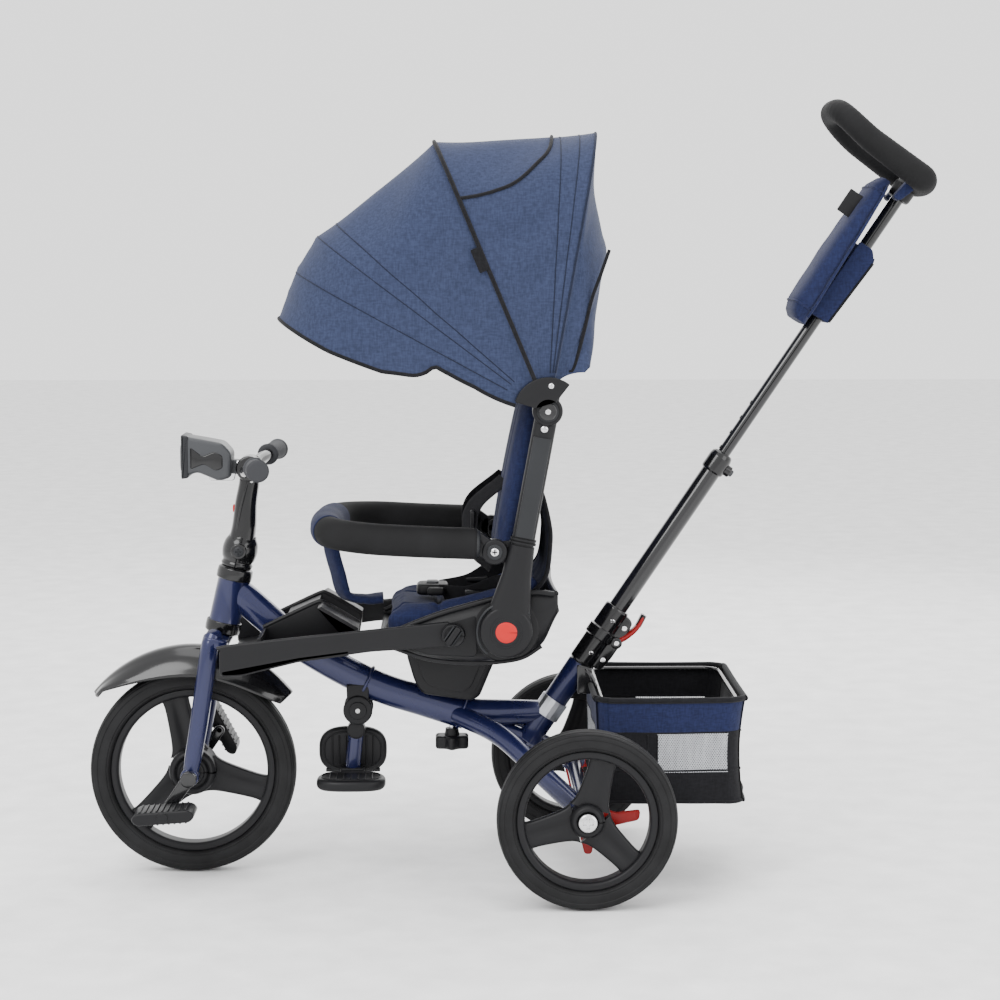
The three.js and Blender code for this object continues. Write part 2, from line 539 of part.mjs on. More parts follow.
const hingeBars = sides.map(([, sign]) => rod(v3(sign * PAD_HINGE.x, FOOT_POST.footY - 40, padHingeZ),
  v3(sign * PAD_HINGE.x, FOOT_POST.footY + 40, padHingeZ), PAD_HINGE.bar));
add('footrest_post', join(rod(footPivot, v3(0, FOOT_POST.footY, FOOT_POST.footZ), FOOT_POST.radius),
  crossRod(-24, 24, FOOT_POST.y, FOOT_POST.z, 5), crossRod(-FOOT_POST.radius, FOOT_POST.radius,
    FOOT_POST.y, FOOT_POST.z, FOOT_POST.radius), footBlock, footArm, ...hingeBars), bluePaint());
for (const [side, sign] of sides) {
  const board = new THREE.ExtrudeGeometry(roundedRect(FOOTPAD.width, FOOTPAD.length, 24),
    { depth: FOOTPAD.thickness, bevelEnabled: false });
  board.translate(sign * (FOOTPAD.width / 2 - 5), 0, PAD_HINGE.above - FOOTPAD.thickness);
  const barBore = rod(v3(0, -41, 0), v3(0, 41, 0), PAD_HINGE.bar + PAD_HINGE.room);
  const roomHalf = PAD_HINGE.block + RUNNING_GAP;
  const armRoom = block(-PAD_HINGE.bar - 3, PAD_HINGE.bar + 3, -roomHalf, roomHalf, -30, 30);
  const pad = add(`footpad_${side}`, cut(board, barBore, armRoom), blackPlastic());
  pad.position.set(sign * PAD_HINGE.x, FOOT_POST.footY, padHingeZ);
  pad.rotation.y = sign > 0 ? 0 : radians(90);
}

for (const [side, sign] of sides) {
  const lever = [[-14, 12], [12, 14], [42, -6], [76, -8], [76, -20], [40, -20], [16, -16], [8, -56],
    [-2, -56],
    [-12, -14]];
  const plate = slab(lever.map(([y, z]) => [rearAxle.y + y, rearAxle.z + z]), 0, 10);
  const x0 = sign > 0 ? LUG.x + LUG.halfWidth + GAP : -(LUG.x + LUG.halfWidth + GAP) - 10;
  plate.translate(x0, 0, 0);
  const bore = crossRod(-300, 300, rearAxle.y, rearAxle.z, AXLE_RADIUS + GAP, 16);
  add(`brake_lever_${side}`, cut(plate, bore), redPlastic());
}

// ---- seat ---------------------------------------------------------------------------------
const SEAT_FLOOR = 324;
const pedestalTop = SEAT_FLOOR - 1;
const pedestalSide = [[-254, pedestalTop], [-240, 280], [-228, 262], [-158, 250], [-146, 258],
  [-118, pedestalTop]];
add('seat_pedestal', cut(slab(pedestalSide, -44, 44, 4), frameTool, studBore), blackPlastic());

const tubSide = [[-288, 350], [-250, 334], [-210, SEAT_FLOOR], [-96, SEAT_FLOOR], [-52, 347], [-38, 378],
  [-40, 424], [-72, 426], [-118, 420], [-240, 384], [-286, 372]];
const tubHollow = [[-300, 384], [-280, 358], [-244, 344], [-204, SEAT_FLOOR + 9], [-100, SEAT_FLOOR + 9],
  [-60, 342], [-46, 380], [-48, 500], [-300, 500]];
const tubInner = SEAT_HALF - 7;
const reclineStud = (sign) => crossRod(sign * (tubInner - 1), sign * (SIDE_X - 7), RECLINE.y, RECLINE.z,
  RECLINE.stud);
const knobBore = crossRod(-300, 300, KNOB.y, KNOB.z, KNOB.shaft + GAP, 14);
add('seat_base', cut(join(cut(slab(tubSide, -SEAT_HALF, SEAT_HALF, 5), slab(tubHollow, -tubInner,
  tubInner)),
  reclineStud(1), reclineStud(-1)), knobBore), blackPlastic());
const cushionSide = [[-284, 376], [-276, 362], [-242, 352], [-202, SEAT_FLOOR + 14],
  [-104, SEAT_FLOOR + 14],
  [-66, 346], [-54, 384], [-58, 424], [-110, 428], [-170, 418], [-240, 410], [-276, 404], [-288, 392]];
const cushionHalf = tubInner - 9;
add('seat_cushion', slab(cushionSide, -cushionHalf, cushionHalf, 7), navyCloth());

// The backrest frame: two side tubes, their recline discs, a back panel and the canopy hinges.
const backLine = (t) => v3(0, THREE.MathUtils.lerp(RECLINE.y, CANOPY_HINGE.y, t),
  THREE.MathUtils.lerp(RECLINE.z, CANOPY_HINGE.z, t));
const backTilt = Math.atan2(CANOPY_HINGE.y - RECLINE.y, CANOPY_HINGE.z - RECLINE.z);
const backLength = Math.hypot(CANOPY_HINGE.y - RECLINE.y, CANOPY_HINGE.z - RECLINE.z);
const bowLayer = REAR_PANEL.halfWidth + CANOPY_LAYER + BOW_RADIUS;

/** The arch of a canopy bow or panel: up from its root, over with round shoulders, and down. */
function arch(halfWidth, reach, root) {
  const shoulder = Math.min(SHOULDER, 0.9 * (reach - root));
  const path = new THREE.Path();
  path.moveTo(halfWidth, root);
  path.lineTo(halfWidth, reach - shoulder);
  path.absarc(halfWidth - shoulder, reach - shoulder, shoulder, 0, Math.PI / 2);
  path.lineTo(shoulder - halfWidth, reach);
  path.absarc(shoulder - halfWidth, reach - shoulder, shoulder, Math.PI / 2, Math.PI);
  path.lineTo(-halfWidth, root);
  return path;
}

/** A place in the canopy from the hinge: x, distance out and angle from +Y towards +Z. */
const fan = (x, out, angle) => v3(x, CANOPY_HINGE.y + out * Math.cos(radians(angle)),
  CANOPY_HINGE.z + out * Math.sin(radians(angle)));

/** A bow: a bent wire between two flat eyes on the hinge pins. */
function bow(halfWidth, reach, angle, eye) {
  const points = arch(halfWidth, reach, eye - 1).getSpacedPoints(ARCH_STEPS).map((p) => fan(p.x, p.y,
    angle));
  const wire = sweep(points, disc(BOW_RADIUS, 6), ARCH_STEPS);
  const eyes = [1, -1].map((sign) => crossRod(sign * (halfWidth - BOW_RADIUS),
    sign * (halfWidth + BOW_RADIUS),
    CANOPY_HINGE.y, CANOPY_HINGE.z, eye, 14));
  const pinRoom = crossRod(-300, 300, CANOPY_HINGE.y, CANOPY_HINGE.z, PIN_RADIUS + GAP);
  return angle === CANOPY_ANGLES.rear ? join(wire, ...eyes) : cut(join(wire, ...eyes), pinRoom);
}

/** A canopy panel through ribs given as [angle, reach], from its root radius out to each reach. */
function panel(halfWidth, ribs) {
  const steps = ribs.length - 1;
  return sheetSolid((u, v, side) => {
    const [angle, reach] = ribs[Math.round(v * steps)];
    const inset = side * PANEL_THICKNESS;
    const p = arch(halfWidth - inset, reach - inset, PANEL_ROOT).getPointAt(u);
    return fan(p.x, p.y, angle);
  }, ARCH_STEPS, steps);
}

const frontBowLayer = bowLayer + 2 * BOW_RADIUS + CANOPY_LAYER;
const frontPanelLayer = frontBowLayer + BOW_RADIUS + CANOPY_LAYER + PANEL_THICKNESS;
const middleBowLayer = frontPanelLayer + BOW_RADIUS + CANOPY_LAYER;
const middlePanelLayer = middleBowLayer + BOW_RADIUS + CANOPY_LAYER + PANEL_THICKNESS;
const reachOf = (layer) => REAR_PANEL.reach + layer - REAR_PANEL.halfWidth;

const backParts = [];
for (const [, sign] of sides) {
  const at = (point) => v3(sign * SIDE_X, point.y, point.z);
  backParts.push(rod(at(backLine(0)), at(backLine(1)), BACK_TUBE_RADIUS, BACK_TUBE_RADIUS, 16));
  backParts.push(crossRod(sign * (SEAT_HALF + GAP + 1), sign * (SIDE_X + 12), RECLINE.y, RECLINE.z,
    RECLINE.disc, 20));
  backParts.push(crossRod(sign * (SIDE_X - 13), sign * (SIDE_X + 11), CANOPY_HINGE.y, CANOPY_HINGE.z, 20));
  backParts.push(rod(at(backLine(1)), at(backLine(1.09)), 13, 11, 16));
  backParts.push(crossRod(sign * SIDE_X, sign * (middleBowLayer + BOW_RADIUS + 1), CANOPY_HINGE.y,
    CANOPY_HINGE.z, PIN_RADIUS, 12));
  const lug = slab([[ARM_HINGE.y - 6, ARM_HINGE.z - 12], [ARM_HINGE.y + 40, ARM_HINGE.z - 26],
    [ARM_HINGE.y + 40, ARM_HINGE.z + 16], [ARM_HINGE.y - 4, ARM_HINGE.z + 12]], 0, 7);
  backParts.push(lug.translate(sign > 0 ? SIDE_X - 13 : -SIDE_X + 6, 0, 0));
  backParts.push(crossRod(sign * (SIDE_X - 13), sign * (SIDE_X + 9), ARM_HINGE.y, ARM_HINGE.z, 6, 14));
}
const boardBack = 11;
const boardPoint = (t, off) => {
  const p = backLine(t);
  return [p.y + off * Math.cos(backTilt), p.z - off * Math.sin(backTilt)];
};
const board = slab([boardPoint(0.3, boardBack - 5), boardPoint(1, boardBack - 5), boardPoint(1, boardBack),
  boardPoint(0.3, boardBack)], -SIDE_X, SIDE_X);
const rearBow = bow(bowLayer, reachOf(bowLayer), CANOPY_ANGLES.rear, 7);
const buttonBore = (sign) => crossRod(sign * (SIDE_X - 4), sign * (SIDE_X + 40), RECLINE.y, RECLINE.z,
  RECLINE.button + GAP, 24);
const studHole = crossRod(-SIDE_X + 6, SIDE_X - 6, RECLINE.y, RECLINE.z, RECLINE.stud + RUNNING_GAP);
add('backrest_frame', cut(join(...backParts, board, rearBow), buttonBore(1), buttonBore(-1), studHole),
  blackPlastic());
for (const [side, sign] of sides) {
  add(`recline_button_${side}`, crossRod(sign * SIDE_X, sign * (SIDE_X + 14), RECLINE.y, RECLINE.z,
    RECLINE.button, 24), redPlastic());
}
const padHalf = SIDE_X - BACK_TUBE_RADIUS - 8;
const padSide = [boardPoint(0.29, 5), boardPoint(0.25, -24), boardPoint(0.4, -36), boardPoint(0.7, -37),
  boardPoint(1.02, -34), boardPoint(1.06, -18), boardPoint(1.04, 4)];
add('backrest_pad', slab(padSide, -padHalf, padHalf, 6), navyCloth());

// ---- leg rest with its side knobs ---------------------------------------------------------
const LEG_ROOT = -300;
/** A place along the leg rest, from its root at 0 to its front end, just behind the head tube, at 1. */
const legY = (share) => LEG_ROOT + share * (HEAD.y + 8.6 - LEG_ROOT);
const armX0 = SEAT_HALF + GAP + 1;
const armX1 = armX0 + 9;
const railSide = [[legY(1), 311], [legY(1), 350], [legY(0.972), 354], [legY(0.474), 366], [-300, 376],
  [KNOB.y - 6, KNOB.z + 17],
  [KNOB.y + 12, KNOB.z + 13], [KNOB.y + 19, KNOB.z], [KNOB.y + 12, KNOB.z - 13], [KNOB.y - 6, KNOB.z - 17],
  [-300, 346], [legY(0.474), 332], [legY(0.853), 312]];
const shelfSide = [[legY(0.986), 312], [legY(0.986), 318], [legY(0.474), 338], [legY(0.142), 347],
  [legY(0.142), 341], [legY(0.474), 332], [legY(0.853), 313]];
const cheekSide = [[legY(0.735), 326], [legY(0.735), 366], [legY(0.379), 403], [legY(0.341), 404],
  [legY(0.09), 372], [legY(0.104), 342], [legY(0.474), 332]];
const bridgeSide = [[legY(0.588), 381], [legY(0.37), 401], [legY(0.37), 396], [legY(0.588), 376]];
const CHEEK_X = 46;
const NOTCH_X = 86; // room for the fork crown to turn
const legRestParts = [slab(bridgeSide, -CHEEK_X, CHEEK_X)];
for (const [, sign] of sides) {
  const pair = (outline, x0, x1) => slab(outline, Math.min(sign * x0, sign * x1), Math.max(sign * x0,
    sign * x1));
  legRestParts.push(pair(railSide, armX0, armX1), pair(shelfSide, NOTCH_X, armX1));
  legRestParts.push(pair([[legY(0.735), 327], [legY(0.735), 333], [legY(0.474), 338], [legY(0.142), 347],
    [legY(0.142), 341], [legY(0.474), 332]],
    CHEEK_X, NOTCH_X + 4));
  legRestParts.push(pair(cheekSide, CHEEK_X, CHEEK_X + 5));
}
add('leg_rest', cut(join(...legRestParts), knobBore), blackPlastic());
for (const [side, sign] of sides) {
  const headIn = armX1 + GAP;
  const grip = join(crossRod(sign * headIn, sign * (headIn + 11), KNOB.y, KNOB.z, KNOB.radius, 24),
    crossRod(sign * (SEAT_HALF - 4), sign * headIn, KNOB.y, KNOB.z, KNOB.shaft, 14));
  const bar = block(-4.5, 4.5, -4, 4, -KNOB.radius + 1, KNOB.radius - 1).rotateX(radians(-35))
    .translate(sign * (headIn + 12), KNOB.y, KNOB.z);
  add(`leg_knob_${side}`, join(grip, bar), blackPlastic());
}

// ---- safety bar ---------------------------------------------------------------------------
const barCorner = [v3(SIDE_X, BAR_FOAM.startY - 80, BAR_FOAM.startZ + 3),
  v3(SIDE_X - 6, BAR_FOAM.frontY + 62, 506),
  v3(SIDE_X - 54, BAR_FOAM.frontY + 12, 508.5), v3(0, BAR_FOAM.frontY, BAR_FOAM.z)];
const foamStart = v3(SIDE_X, BAR_FOAM.startY, BAR_FOAM.startZ);
const barHalfLine = [foamStart, ...barCorner];
const fullLine = (half) => [...half, ...mirrored(half.slice(0, -1)).reverse()];
const ringSection = disc(BAR_FOAM.radius, 10);
ringSection.holes.push(disc(BAR_FOAM.core + GAP, 8));
const foamLine = fullLine(barHalfLine);
const BAR_STEPS = 15;
add('safety_bar_foam', sweep(foamLine, ringSection, BAR_STEPS), foam());
const armDiscs = sides.flatMap(([, sign]) => [
  crossRod(sign * (SIDE_X - 5), sign * (SIDE_X + 8), ARM_HINGE.y, ARM_HINGE.z, ARM_HINGE.radius, 22),
  slab([[ARM_HINGE.y, ARM_HINGE.z - 12], [ARM_HINGE.y, ARM_HINGE.z + 14], [BAR_FOAM.startY + 3,
    BAR_FOAM.startZ + 15],
    [BAR_FOAM.startY + 3, BAR_FOAM.startZ - 15]], 0, 13).translate(sign > 0 ? SIDE_X - 5 : -SIDE_X - 8, 0, 0),
  rod(v3(sign * SIDE_X, BAR_FOAM.startY + 8, BAR_FOAM.startZ - 1), v3(sign * SIDE_X, BAR_FOAM.startY - 5,
    BAR_FOAM.startZ), BAR_FOAM.core - 1.5),
]);
const armBore = crossRod(-300, 300, ARM_HINGE.y, ARM_HINGE.z, 6 + GAP, 14);
const armRear = block(-300, 300, -104, -60, 400, 600);
add('safety_bar_frame', cut(join(sweep(foamLine, disc(BAR_FOAM.core, 8), BAR_STEPS), ...armDiscs),
  armBore, armRear),
  blackPlastic());
const strapLine = [[-360, 484], [-350, 440], [-341, 404], [-312, 397], [-291, 400]];
const strapFace = [...strapLine, ...strapLine.slice().reverse().map(([y, z]) => [y + 1.5, z + 3])];
add('crotch_strap', slab(strapFace, -STRAP_HALF, STRAP_HALF), navyCloth());

// ---- canopy -------------------------------------------------------------------------------
const JOIN_GAP = 1.6; // degrees left beside each bow
const evenRibs = (from, to, reach, count) => Array.from({ length: count + 1 },
  (_, i) => [from + ((to - from) * i) / count, reach]);
const rearRibs = [[CANOPY_ANGLES.rear - 1, REAR_PANEL.reach], [75.7, 316], [69, 237], [63.4, 163],
  [51, 104]];
add('canopy_rear_panel', panel(REAR_PANEL.halfWidth, rearRibs), canopyCloth());
add('canopy_middle_panel', panel(middlePanelLayer, evenRibs(CANOPY_ANGLES.rear,
  CANOPY_ANGLES.middle - JOIN_GAP,
  reachOf(middlePanelLayer), 3)), canopyCloth());
add('canopy_middle_bow', bow(middleBowLayer, reachOf(middleBowLayer), CANOPY_ANGLES.middle, 20),
  blackSteel());
add('canopy_front_panel', panel(frontPanelLayer, evenRibs(CANOPY_ANGLES.middle + JOIN_GAP,
  CANOPY_ANGLES.visor,
  reachOf(frontPanelLayer), 5)), canopyCloth());
add('canopy_front_bow', bow(frontBowLayer, reachOf(frontBowLayer), CANOPY_ANGLES.front, 7), blackSteel());

// ---- push pole ----------------------------------------------------------------------------
const poleHollow = MAST_TOP - UPPER_TUBE.insert - 165;
const tubeBore = rod(v3(0, 0, poleHollow), v3(0, 0, MAST_TOP + 20), UPPER_TUBE.radius + 0.7,
  UPPER_TUBE.radius + 0.7, 14);
add('lower_mast', cut(rod(v3(0, 0, 11 - MAST.socketLength), v3(0, 0, MAST_TOP), MAST.radius, MAST.radius,
  16),
  tubeBore), blackSteel(), mast);

const { along: qrZ, behind: qrY } = QUICK_RELEASE;
const ears = [1, -1].map((sign) => join(
  block(sign > 0 ? QUICK_RELEASE.half + GAP : -QUICK_RELEASE.half - GAP - QUICK_RELEASE.ear,
    sign > 0 ? QUICK_RELEASE.half + GAP + QUICK_RELEASE.ear : -QUICK_RELEASE.half - GAP, 8, qrY,
    qrZ - 7, qrZ + 7),
  crossRod(sign * (QUICK_RELEASE.half + GAP), sign * (QUICK_RELEASE.half + GAP + QUICK_RELEASE.ear), qrY,
    qrZ, 7)));
const mastTool = rod(v3(0, 0, -200), v3(0, 0, 400), MAST.radius + GAP, MAST.radius + GAP, 16);
const trunnionBore = crossRod(-60, 60, qrY, qrZ, 3 + GAP, 10);
add('mast_clamp', cut(join(rod(v3(0, 0, GAP), v3(0, 0, MAST_CLAMP.length), MAST_CLAMP.radius,
  MAST_CLAMP.radius, 16),
  ...ears), mastTool, trunnionBore), blackPlastic(), mast);
const blade = slab([[qrY + 2, qrZ], [qrY + 7, qrZ + 2], [qrY + 9, qrZ + 34], [QUICK_RELEASE.tipBehind + 4,
  QUICK_RELEASE.tipAlong - 8], [QUICK_RELEASE.tipBehind + 14, QUICK_RELEASE.tipAlong],
[QUICK_RELEASE.tipBehind + 12, QUICK_RELEASE.tipAlong + 3], [QUICK_RELEASE.tipBehind,
  QUICK_RELEASE.tipAlong - 5],
[qrY + 5, qrZ + 36]], -6, 6);
add('quick_release_lever', join(crossRod(-QUICK_RELEASE.half, QUICK_RELEASE.half, qrY, qrZ,
  QUICK_RELEASE.hub),
  crossRod(-13, 13, qrY, qrZ, 3, 10), blade), redPlastic(), mast);

const collarBody = rod(v3(0, 0, MAST_TOP - COLLAR.below), v3(0, 0, MAST_TOP + COLLAR.above), COLLAR.radius,
  COLLAR.radius, 16);
const boss = rod(v3(0, 8, MAST_TOP - 8), v3(0, 21, MAST_TOP - 8), 9, 8.5);
const upperBore = rod(v3(0, 0, MAST_TOP - 40), v3(0, 0, MAST_TOP + 60), UPPER_TUBE.radius + 0.5,
  UPPER_TUBE.radius + 0.5, 14);
const lowerSeat = rod(v3(0, 0, MAST_TOP - 40), v3(0, 0, MAST_TOP + GAP), MAST.radius + GAP,
  MAST.radius + GAP, 16);
const pinPocket = rod(v3(0, MAST.radius, MAST_TOP - 8), v3(0, 60, MAST_TOP - 8), 6 + GAP, 6 + GAP, 14);
add('mast_collar', cut(join(collarBody, boss), upperBore, lowerSeat, pinPocket), blackPlastic(), mast);
add('mast_pin_button', rod(v3(0, MAST.radius + 4, MAST_TOP - 8), v3(0, MAST.radius + 12, MAST_TOP - 8), 6,
  6, 14),
  blackPlastic(), mast);

const upperRod = rod(v3(0, 0, MAST_TOP - UPPER_TUBE.insert), v3(0, 0, UPPER_TUBE.top), UPPER_TUBE.radius,
  UPPER_TUBE.radius, 14);
const upperInside = rod(v3(0, 0, 0), v3(0, 0, UPPER_TUBE.top - 20), UPPER_TUBE.radius - TUBE_WALL,
  UPPER_TUBE.radius - TUBE_WALL);
add('upper_mast', cut(upperRod, upperInside), blackSteel(), mast);
const elbow = (sign) => v3(sign * HANDLE.halfWidth, 0, HANDLE.along);
const tip = (sign) => v3(sign * HANDLE.halfWidth, -HANDLE.reach, HANDLE.along + HANDLE.rise);
const topTube = rod(v3(0, 0, UPPER_TUBE.top - 60), v3(0, 0, UPPER_TUBE.top + GAP), UPPER_TUBE.radius + GAP,
  UPPER_TUBE.radius + GAP, 14);
add('push_handle', cut(join(rod(elbow(-1), elbow(1), HANDLE.rear, HANDLE.rear, 12),
  ...[1, -1].flatMap((sign) => [ball(elbow(sign), HANDLE.rear * 1.01),
    rod(elbow(sign), tip(sign), HANDLE.rear, HANDLE.front, 12)])), topTube), foam(), mast);
add('handle_bag', slab([[-BAG.near, BAG.from + 10], [-BAG.near, BAG.to - 12], [-BAG.near - 8, BAG.to],
  [-BAG.far + 8, BAG.to - 2], [-BAG.far, BAG.to - 30], [-BAG.far, BAG.from + 20], [-BAG.far + 10,
    BAG.from]],
-BAG.halfWidth, BAG.halfWidth, 5), navyCloth(), mast);

// ---- basket -------------------------------------------------------------------------------
const basketPlan = (inset) => roundedRect(2 * (BASKET.halfWidth - inset),
  BASKET.rear - BASKET.front - 2 * inset,
  BASKET.corner - inset);
const basketBlock = (inset, z0, z1) => new THREE.ExtrudeGeometry(basketPlan(inset),
  { depth: z1 - z0, bevelEnabled: false }).translate(0, (BASKET.front + BASKET.rear) / 2, z0);
add('basket', cut(basketBlock(0, BASKET.bottom, BASKET.top),
  basketBlock(BASKET.wall, BASKET.bottom + BASKET.wall, BASKET.top + 10)), navyCloth());
const rimZ = BASKET.top + GAP + RIM_ROD;
const rimPoints = basketPlan(RIM_ROD).getPoints()
  .map((p) => v3(p.x, p.y + (BASKET.front + BASKET.rear) / 2, rimZ));
const hoop = flatHoop(rimPoints, RIM_ROD, 8);
const hookY = mast.worldToLocal(v3(0, BASKET.front, rimZ));
const grab = rod(v3(0, 0, hookY.z - 14), v3(0, 0, hookY.z + 8), 25, 25, 16)
  .applyMatrix4(mast.matrixWorld);
const mastHole = rod(v3(0, 0, -100), v3(0, 0, 100), MAST_CLAMP.radius + GAP, MAST_CLAMP.radius + GAP, 16)
  .applyMatrix4(mast.matrixWorld);
add('basket_frame', cut(join(hoop, grab), mastHole), blackSteel());

// ---- the origin: the middle of the footprint ----------------------------------------------
tricycle.updateMatrixWorld(true);
const bounds = new THREE.Box3().setFromObject(tricycle, true);
const shift = -Math.round((bounds.min.y + bounds.max.y) * 5) / 10;
const centred = new THREE.Group();
tricycle.position.y = shift;
centred.add(tricycle);

export default centred;
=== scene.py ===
import json

import bmesh
import bpy
import numpy as np
from bpy.props import FloatProperty, FloatVectorProperty, PointerProperty
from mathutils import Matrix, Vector


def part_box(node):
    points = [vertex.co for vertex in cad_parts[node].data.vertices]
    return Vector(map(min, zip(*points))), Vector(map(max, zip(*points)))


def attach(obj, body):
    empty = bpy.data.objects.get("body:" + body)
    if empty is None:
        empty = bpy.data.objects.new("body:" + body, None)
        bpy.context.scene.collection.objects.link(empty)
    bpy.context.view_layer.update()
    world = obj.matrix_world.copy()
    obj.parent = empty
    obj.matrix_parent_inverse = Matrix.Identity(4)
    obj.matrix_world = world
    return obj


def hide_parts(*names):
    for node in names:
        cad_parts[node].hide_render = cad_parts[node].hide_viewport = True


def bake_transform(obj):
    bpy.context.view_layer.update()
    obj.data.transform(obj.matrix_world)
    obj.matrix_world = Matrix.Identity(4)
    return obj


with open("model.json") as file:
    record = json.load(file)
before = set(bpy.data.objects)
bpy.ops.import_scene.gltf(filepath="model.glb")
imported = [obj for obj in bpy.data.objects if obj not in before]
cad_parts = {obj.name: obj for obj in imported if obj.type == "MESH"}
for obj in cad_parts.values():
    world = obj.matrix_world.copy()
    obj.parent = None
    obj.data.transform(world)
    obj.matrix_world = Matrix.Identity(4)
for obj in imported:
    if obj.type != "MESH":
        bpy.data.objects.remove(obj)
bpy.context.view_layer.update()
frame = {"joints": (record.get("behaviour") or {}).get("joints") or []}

bl_info = {
    "name": "Children's push tricycle",
    "version": (1, 0, 0),
    "blender": (4, 5, 0),
    "location": "3D View > Sidebar > Tricycle",
    "description": "Finished surfaces of a push tricycle with canopy, seat, basket and push pole",
    "category": "Object",
}

# Shapes are worked out in millimetres, with Y measured from the rear axle and Z from the floor.
MM = 0.001
AXLE_Y = sum(corner.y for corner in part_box("rear_axle")) / 2


def metres(points):
    """Turns design points into the frame's metres."""
    return np.asarray(points, float) * MM + (0, AXLE_Y, 0)


def corners(node):
    """The lowest and highest corner of a CAD node, in design millimetres."""
    return [(np.array(corner) - (0, AXLE_Y, 0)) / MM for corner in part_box(node)]


def middle(node):
    low, high = corners(node)
    return (low + high) / 2


def joint(name):
    return next(j for j in frame["joints"] if j["name"] == name)


def pivot(name):
    """The point that a joint turns about, in design millimetres."""
    return (np.array(joint(name)["pos_m"]) - (0, AXLE_Y, 0)) / MM


def lean_of(axis):
    """How far an axis leans back from the vertical, in degrees."""
    return np.degrees(np.arctan2(axis[1], axis[2]))


FRONT_AXLE = pivot("front_wheel_spin")
HEAD = pivot("steering_turn")
HEAD_TILT = lean_of(joint("steering_turn")["axis"])
POLE_FOOT = np.array([0.0, 2.0, 305.0])
POLE_TILT = lean_of(joint("pole_slide")["axis"])
RECLINE = pivot("backrest_recline")
CANOPY_HINGE = pivot("canopy_middle_fold")
ARM_HINGE = pivot("safety_bar_lift")
KNOB = pivot("leg_knob_left_turn")
SIDE_X = 155.0  # middle of the backrest tubes


# ---- curves and skins ---------------------------------------------------------------------
def power(values, exponent):
    """A value's size raised to an exponent, with its sign kept."""
    return np.sign(values) * np.abs(values) ** exponent


def unit(vectors):
    return vectors / np.linalg.norm(vectors, axis=-1, keepdims=True)


def curve(points, count, closed=False):
    """Even steps along the Catmull-Rom curve through points: on each span, the cubic that leaves a point
    in the direction of the line between its two neighbours."""
    p = np.asarray(points, float)
    ends = [p[-1:], p, p[:2]] if closed else [2 * p[:1] - p[1:2], p, 2 * p[-1:] - p[-2:-1]]
    q = np.vstack(ends)
    spans = len(q) - 3
    s = np.linspace(0, spans - 1e-9, 40 * spans + 1)
    i = s.astype(int)
    t = (s - i)[:, None]
    a, b, c, d = q[i], q[i + 1], q[i + 2], q[i + 3]
    fine = 0.5 * (2 * b + (c - a) * t + (2 * a - 5 * b + 4 * c - d) * t**2 + (3 * b - a - 3 * c + d) * t**3)
    run = np.concatenate([[0], np.cumsum(np.linalg.norm(np.diff(fine, axis=0), axis=1))])
    at = np.linspace(0, run[-1], count, endpoint=not closed)
    return np.stack([np.interp(at, run, fine[:, k]) for k in range(p.shape[1])], axis=1)


def line(start, end, count=12):
    """Even steps along a straight line."""
    return np.asarray(start, float) + np.linspace(0, 1, count)[:, None] * (np.asarray(end, float) - start)


def rounded(outline, radius, steps=5, closed=True):
    """An outline with each corner turned into a quadratic curve that starts a radius before the corner
    and ends a radius past it, or less on a short side."""
    p = np.asarray(outline, float)
    back = np.roll(p, 1, 0) - p
    ahead = np.roll(p, -1, 0) - p
    shortest = np.minimum(np.linalg.norm(back, axis=1), np.linalg.norm(ahead, axis=1))
    reach = np.minimum(radius, 0.48 * shortest)[:, None]
    start = p + unit(back) * reach
    end = p + unit(ahead) * reach
    t = np.linspace(0, 1, steps + 1)[None, :, None]
    arcs = (1 - t) ** 2 * start[:, None] + 2 * t * (1 - t) * p[:, None] + t**2 * end[:, None]
    if closed:
        return arcs.reshape(-1, p.shape[1])
    return np.vstack([p[:1], arcs[1:-1].reshape(-1, p.shape[1]), p[-1:]])


def box_outline(width, height, corner, steps=8):
    """A rounded rectangle about zero."""
    w, h = width / 2, height / 2
    return rounded([(w, -h), (w, h), (-w, h), (-w, -h)], corner, steps)


def ring(count=32):
    """Points round a circle of radius one."""
    a = np.linspace(0, 2 * np.pi, count, endpoint=False)
    return np.stack([np.cos(a), np.sin(a)], axis=1)


def oval(width, height, squareness=1.0, count=48):
    """A superellipse: cosine and sine raised to a power, times the half width and half height."""
    return power(ring(count), squareness) * (width / 2, height / 2)


def carry(path, section, reference=(0, 0, 1)):
    """A section carried along a path: its first axis stays square to a reference direction and to the
    path, its second is square to both."""
    along = unit(np.gradient(path, axis=0))
    side = unit(np.cross(reference, along))
    lift = np.cross(along, side)
    section = np.broadcast_to(section, (len(path),) + np.shape(section)[-2:])
    return path[:, None] + side[:, None] * section[..., :1] + lift[:, None] * section[..., 1:]


def lathe(profile, centre=(0, 0, 0), axis="x", sides=96):
    """Each profile row, a radius and a place along the axis, turned once about that axis."""
    profile = np.asarray(profile, float)
    turn = ring(sides)
    grid = np.empty((len(profile), sides, 3))
    order = {"x": (1, 2, 0), "y": (0, 2, 1), "z": (0, 1, 2)}[axis]
    grid[..., order[0]] = profile[:, :1] * turn[:, 0]
    grid[..., order[1]] = profile[:, :1] * turn[:, 1]
    grid[..., order[2]] = profile[:, 1:]
    return grid + centre


